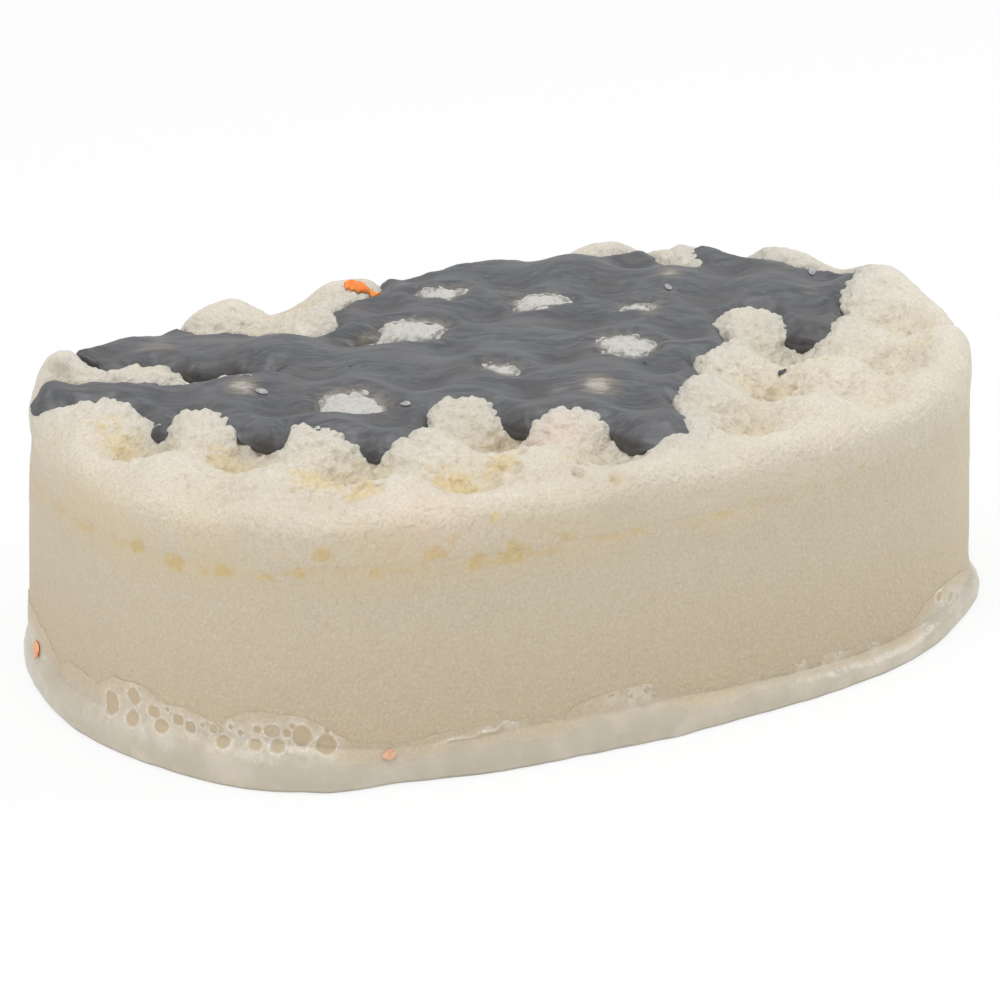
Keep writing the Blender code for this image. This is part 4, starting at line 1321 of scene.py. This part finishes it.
# %% Pores and curls of the grey soap
def vector_maths(operation, first, second, out=0):
    return grey.node("ShaderNodeVectorMath", {"operation": operation}, {0: first, 1: second}, out)


sheet_pores = (
    (-45.0, 12.5, 0.45), (-20.1, 7.5, 0.40), (14.6, -10.4, 0.40), (-42.0, 11.5, 0.22), (30.4, 9.0, 0.3),
)
plan = vector_maths("MULTIPLY", grey.coords, (1, 1, 0))
pores = []
for x, y, radius in sheet_pores:
    away = vector_maths("DISTANCE", plan, (x * mm, y * mm, 0), "Value")
    pores.append(ramp(grey, away, radius * mm, 0.5 * radius * mm))
curl_highlights = []
# Painted highlights: a pale arc on each curl's crest, on the side it faces.
for x, y, radius, turn in curls:
    beside_middle = vector_maths("SUBTRACT", plan, (x * mm, y * mm, 0))
    length = vector_maths("LENGTH", beside_middle, (0, 0, 0), "Value")
    towards = (math.cos(math.radians(turn)), math.sin(math.radians(turn)), 0)
    ahead = vector_maths("DOT_PRODUCT", beside_middle, towards, "Value")
    off_line = length.math("ABSOLUTE", length - radius * mm + (hair - 0.5) * (0.5 * mm))
    facing = ramp(grey, ahead, 0.1 * radius * mm, 0.5 * radius * mm)
    curl_highlights.append(ramp(grey, off_line, 0.10 * mm, 0.03 * mm) * facing)
dots = strongest(pores)
colour = coated(
    grey, colour,
    (dots * 0.8, tone(45, 42, 41)),
    # Painted highlight on the curls.
    (strongest(curl_highlights) * 0.75, tone(214, 212, 208)),
)
streaks = bump(grey, hair * 0.5 + swirl * 0.8 - dots * 1.2, 0.05 * mm)
grey.set(Base_Color=colour, Roughness=0.34 + hair * 0.20 + patchy * 0.2, Normal=streaks)
sheet.data.materials.append(grey.material)
print("grey finish has", len(grey.tree.nodes), "nodes")

# %% [markdown]
# Finish of the foot.
# The foot is bare soap, wet and half clear. Light goes a little way into it, which subsurface
# scattering gives. Its thin upper edge takes the wall's beige, and each froth window shows the
# foam behind. Near-white sparkles on the froth rims and the bright line along the front crest are
# painted highlights.

# %% Foot finish
wet = Finish("white_foot_soap")
cloud = soft_noise(wet, 4 * mm, 3)
climb = ramp(wet, painted(wet, "climb") + (cloud - 0.5) * 0.45, 0.42, 0.94)
mottle = soft_noise(wet, 0.42 * mm, 3)
wall_tone = mix(wet, ramp(wet, mottle, 0.35, 0.65), tone(207, 191, 165), tone(197, 180, 152))
frothy = painted(wet, "foamy") * ramp(wet, soft_noise(wet, 0.9 * mm, 3), 0.30, 0.60)
# Painted sparkles: near-white dots on the froth rims stand in for small highlights.
painted_sparkles = ramp(wet, soft_noise(wet, 0.35 * mm, 2), 0.56, 0.64)
colour = mix(wet, ramp(wet, cloud, 0.35, 0.70), tone(196, 187, 170), tone(209, 199, 184))
colour = coated(
    wet, colour,
    (climb, wall_tone),
    (frothy * 0.55, tone(222, 214, 200)),
    (painted(wet, "window") * 0.85, tone(195, 175, 144)),
    (painted(wet, "rim") * 0.30, tone(228, 219, 204)),
    (painted_sparkles * painted(wet, "rim") * 0.6, tone(250, 247, 240)),
    # Painted highlight along the front crest.
    (painted(wet, "highlit_crest") * (0.25 + painted_sparkles * 0.6), tone(250, 247, 240)),
)
wrinkle = soft_noise(wet, 1.3 * mm, 3) * 0.6 + soft_noise(wet, 5 * mm, 2) + mottle * climb * 0.5
gloss = 0.16 + painted(wet, "window") * 0.3 + climb * 0.4
wet.set(Base_Color=colour, Roughness=gloss, Normal=bump(wet, wrinkle, 0.25 * mm))
lit_within(wet, 0.35, 1.5 * mm, 0.5)
foot.data.materials.append(wet.material)
print("foot finish has", len(wet.tree.nodes), "nodes")

# %% [markdown]
# Finishes of the stray bits.
# They are one kind of soap in several colours, so one function makes them all: two near tones in
# soft patches, and a low crumbly bump. The drip is the same grey soap as the sheet.

# %% Finishes of the stray bits
def bit_finish(name, light, dark, roughness, relief):
    """A crumbly two-tone finish for small bits of soap."""
    made = Finish(name)
    patches = soft_noise(made, 0.9 * mm, 4)
    colour = mix(made, ramp(made, patches, 0.40, 0.62), dark, light)
    surface = bump(made, soft_noise(made, 0.35 * mm, 3), relief)
    made.set(Base_Color=colour, Roughness=roughness + patches * 0.15, Normal=surface)
    made.put(made.shader.inputs["Subsurface Weight"], 0.2)
    made.put(made.shader.inputs["Subsurface Scale"], 0.5 * mm)
    return made.material


orange = bit_finish("orange_soap", tone(255, 158, 70), tone(250, 135, 52), 0.45, 0.08 * mm)
pale = bit_finish("pale_orange_soap", tone(255, 186, 135), tone(252, 168, 114), 0.45, 0.06 * mm)
faded = bit_finish("faded_orange_soap", tone(230, 184, 152), tone(220, 170, 138), 0.35, 0.06 * mm)
chalk = bit_finish("white_soap", tone(178, 178, 177), tone(158, 158, 157), 0.60, 0.02 * mm)
finishes = {"orange_flake_foot": faded, "orange_flake_side": pale, "grey_drip": grey.material}
slots = {}
for node, piece in flakes:
    kind = "orange" if "orange" in node else "white"
    piece.data.materials.append(finishes.get(piece.name, orange if kind == "orange" else chalk))
    slots[piece.name] = "grey_soap" if "grey" in node else f"{kind}_soap"
# The drip lies in a shaded pit, so it gets painted shade all over.
drip = bpy.data.objects["grey_drip"].data
paint(drip, "pocket_shade", np.full(len(drip.vertices), 0.9))
print("stray bits finished")

# %% [markdown]
# Every piece takes its place.
# Each piece rides on the block's one body and stands for its solid, which is hidden.

# %% Pieces and their solids
for piece, node, slot in (
    (upper, "upper_foam_layer", "whitened_foam"),
    (lower, "lower_foam_layer", "soaked_foam"),
    (sheet, "grey_soap_topping", "grey_soap"),
    (foot, "soap_foot", "foot_soap"),
    *((piece, node, slots[piece.name]) for node, piece in flakes),
):
    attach(piece, "root")
    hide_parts(node)

# %% Scene brought up to date
bpy.context.view_layer.update()
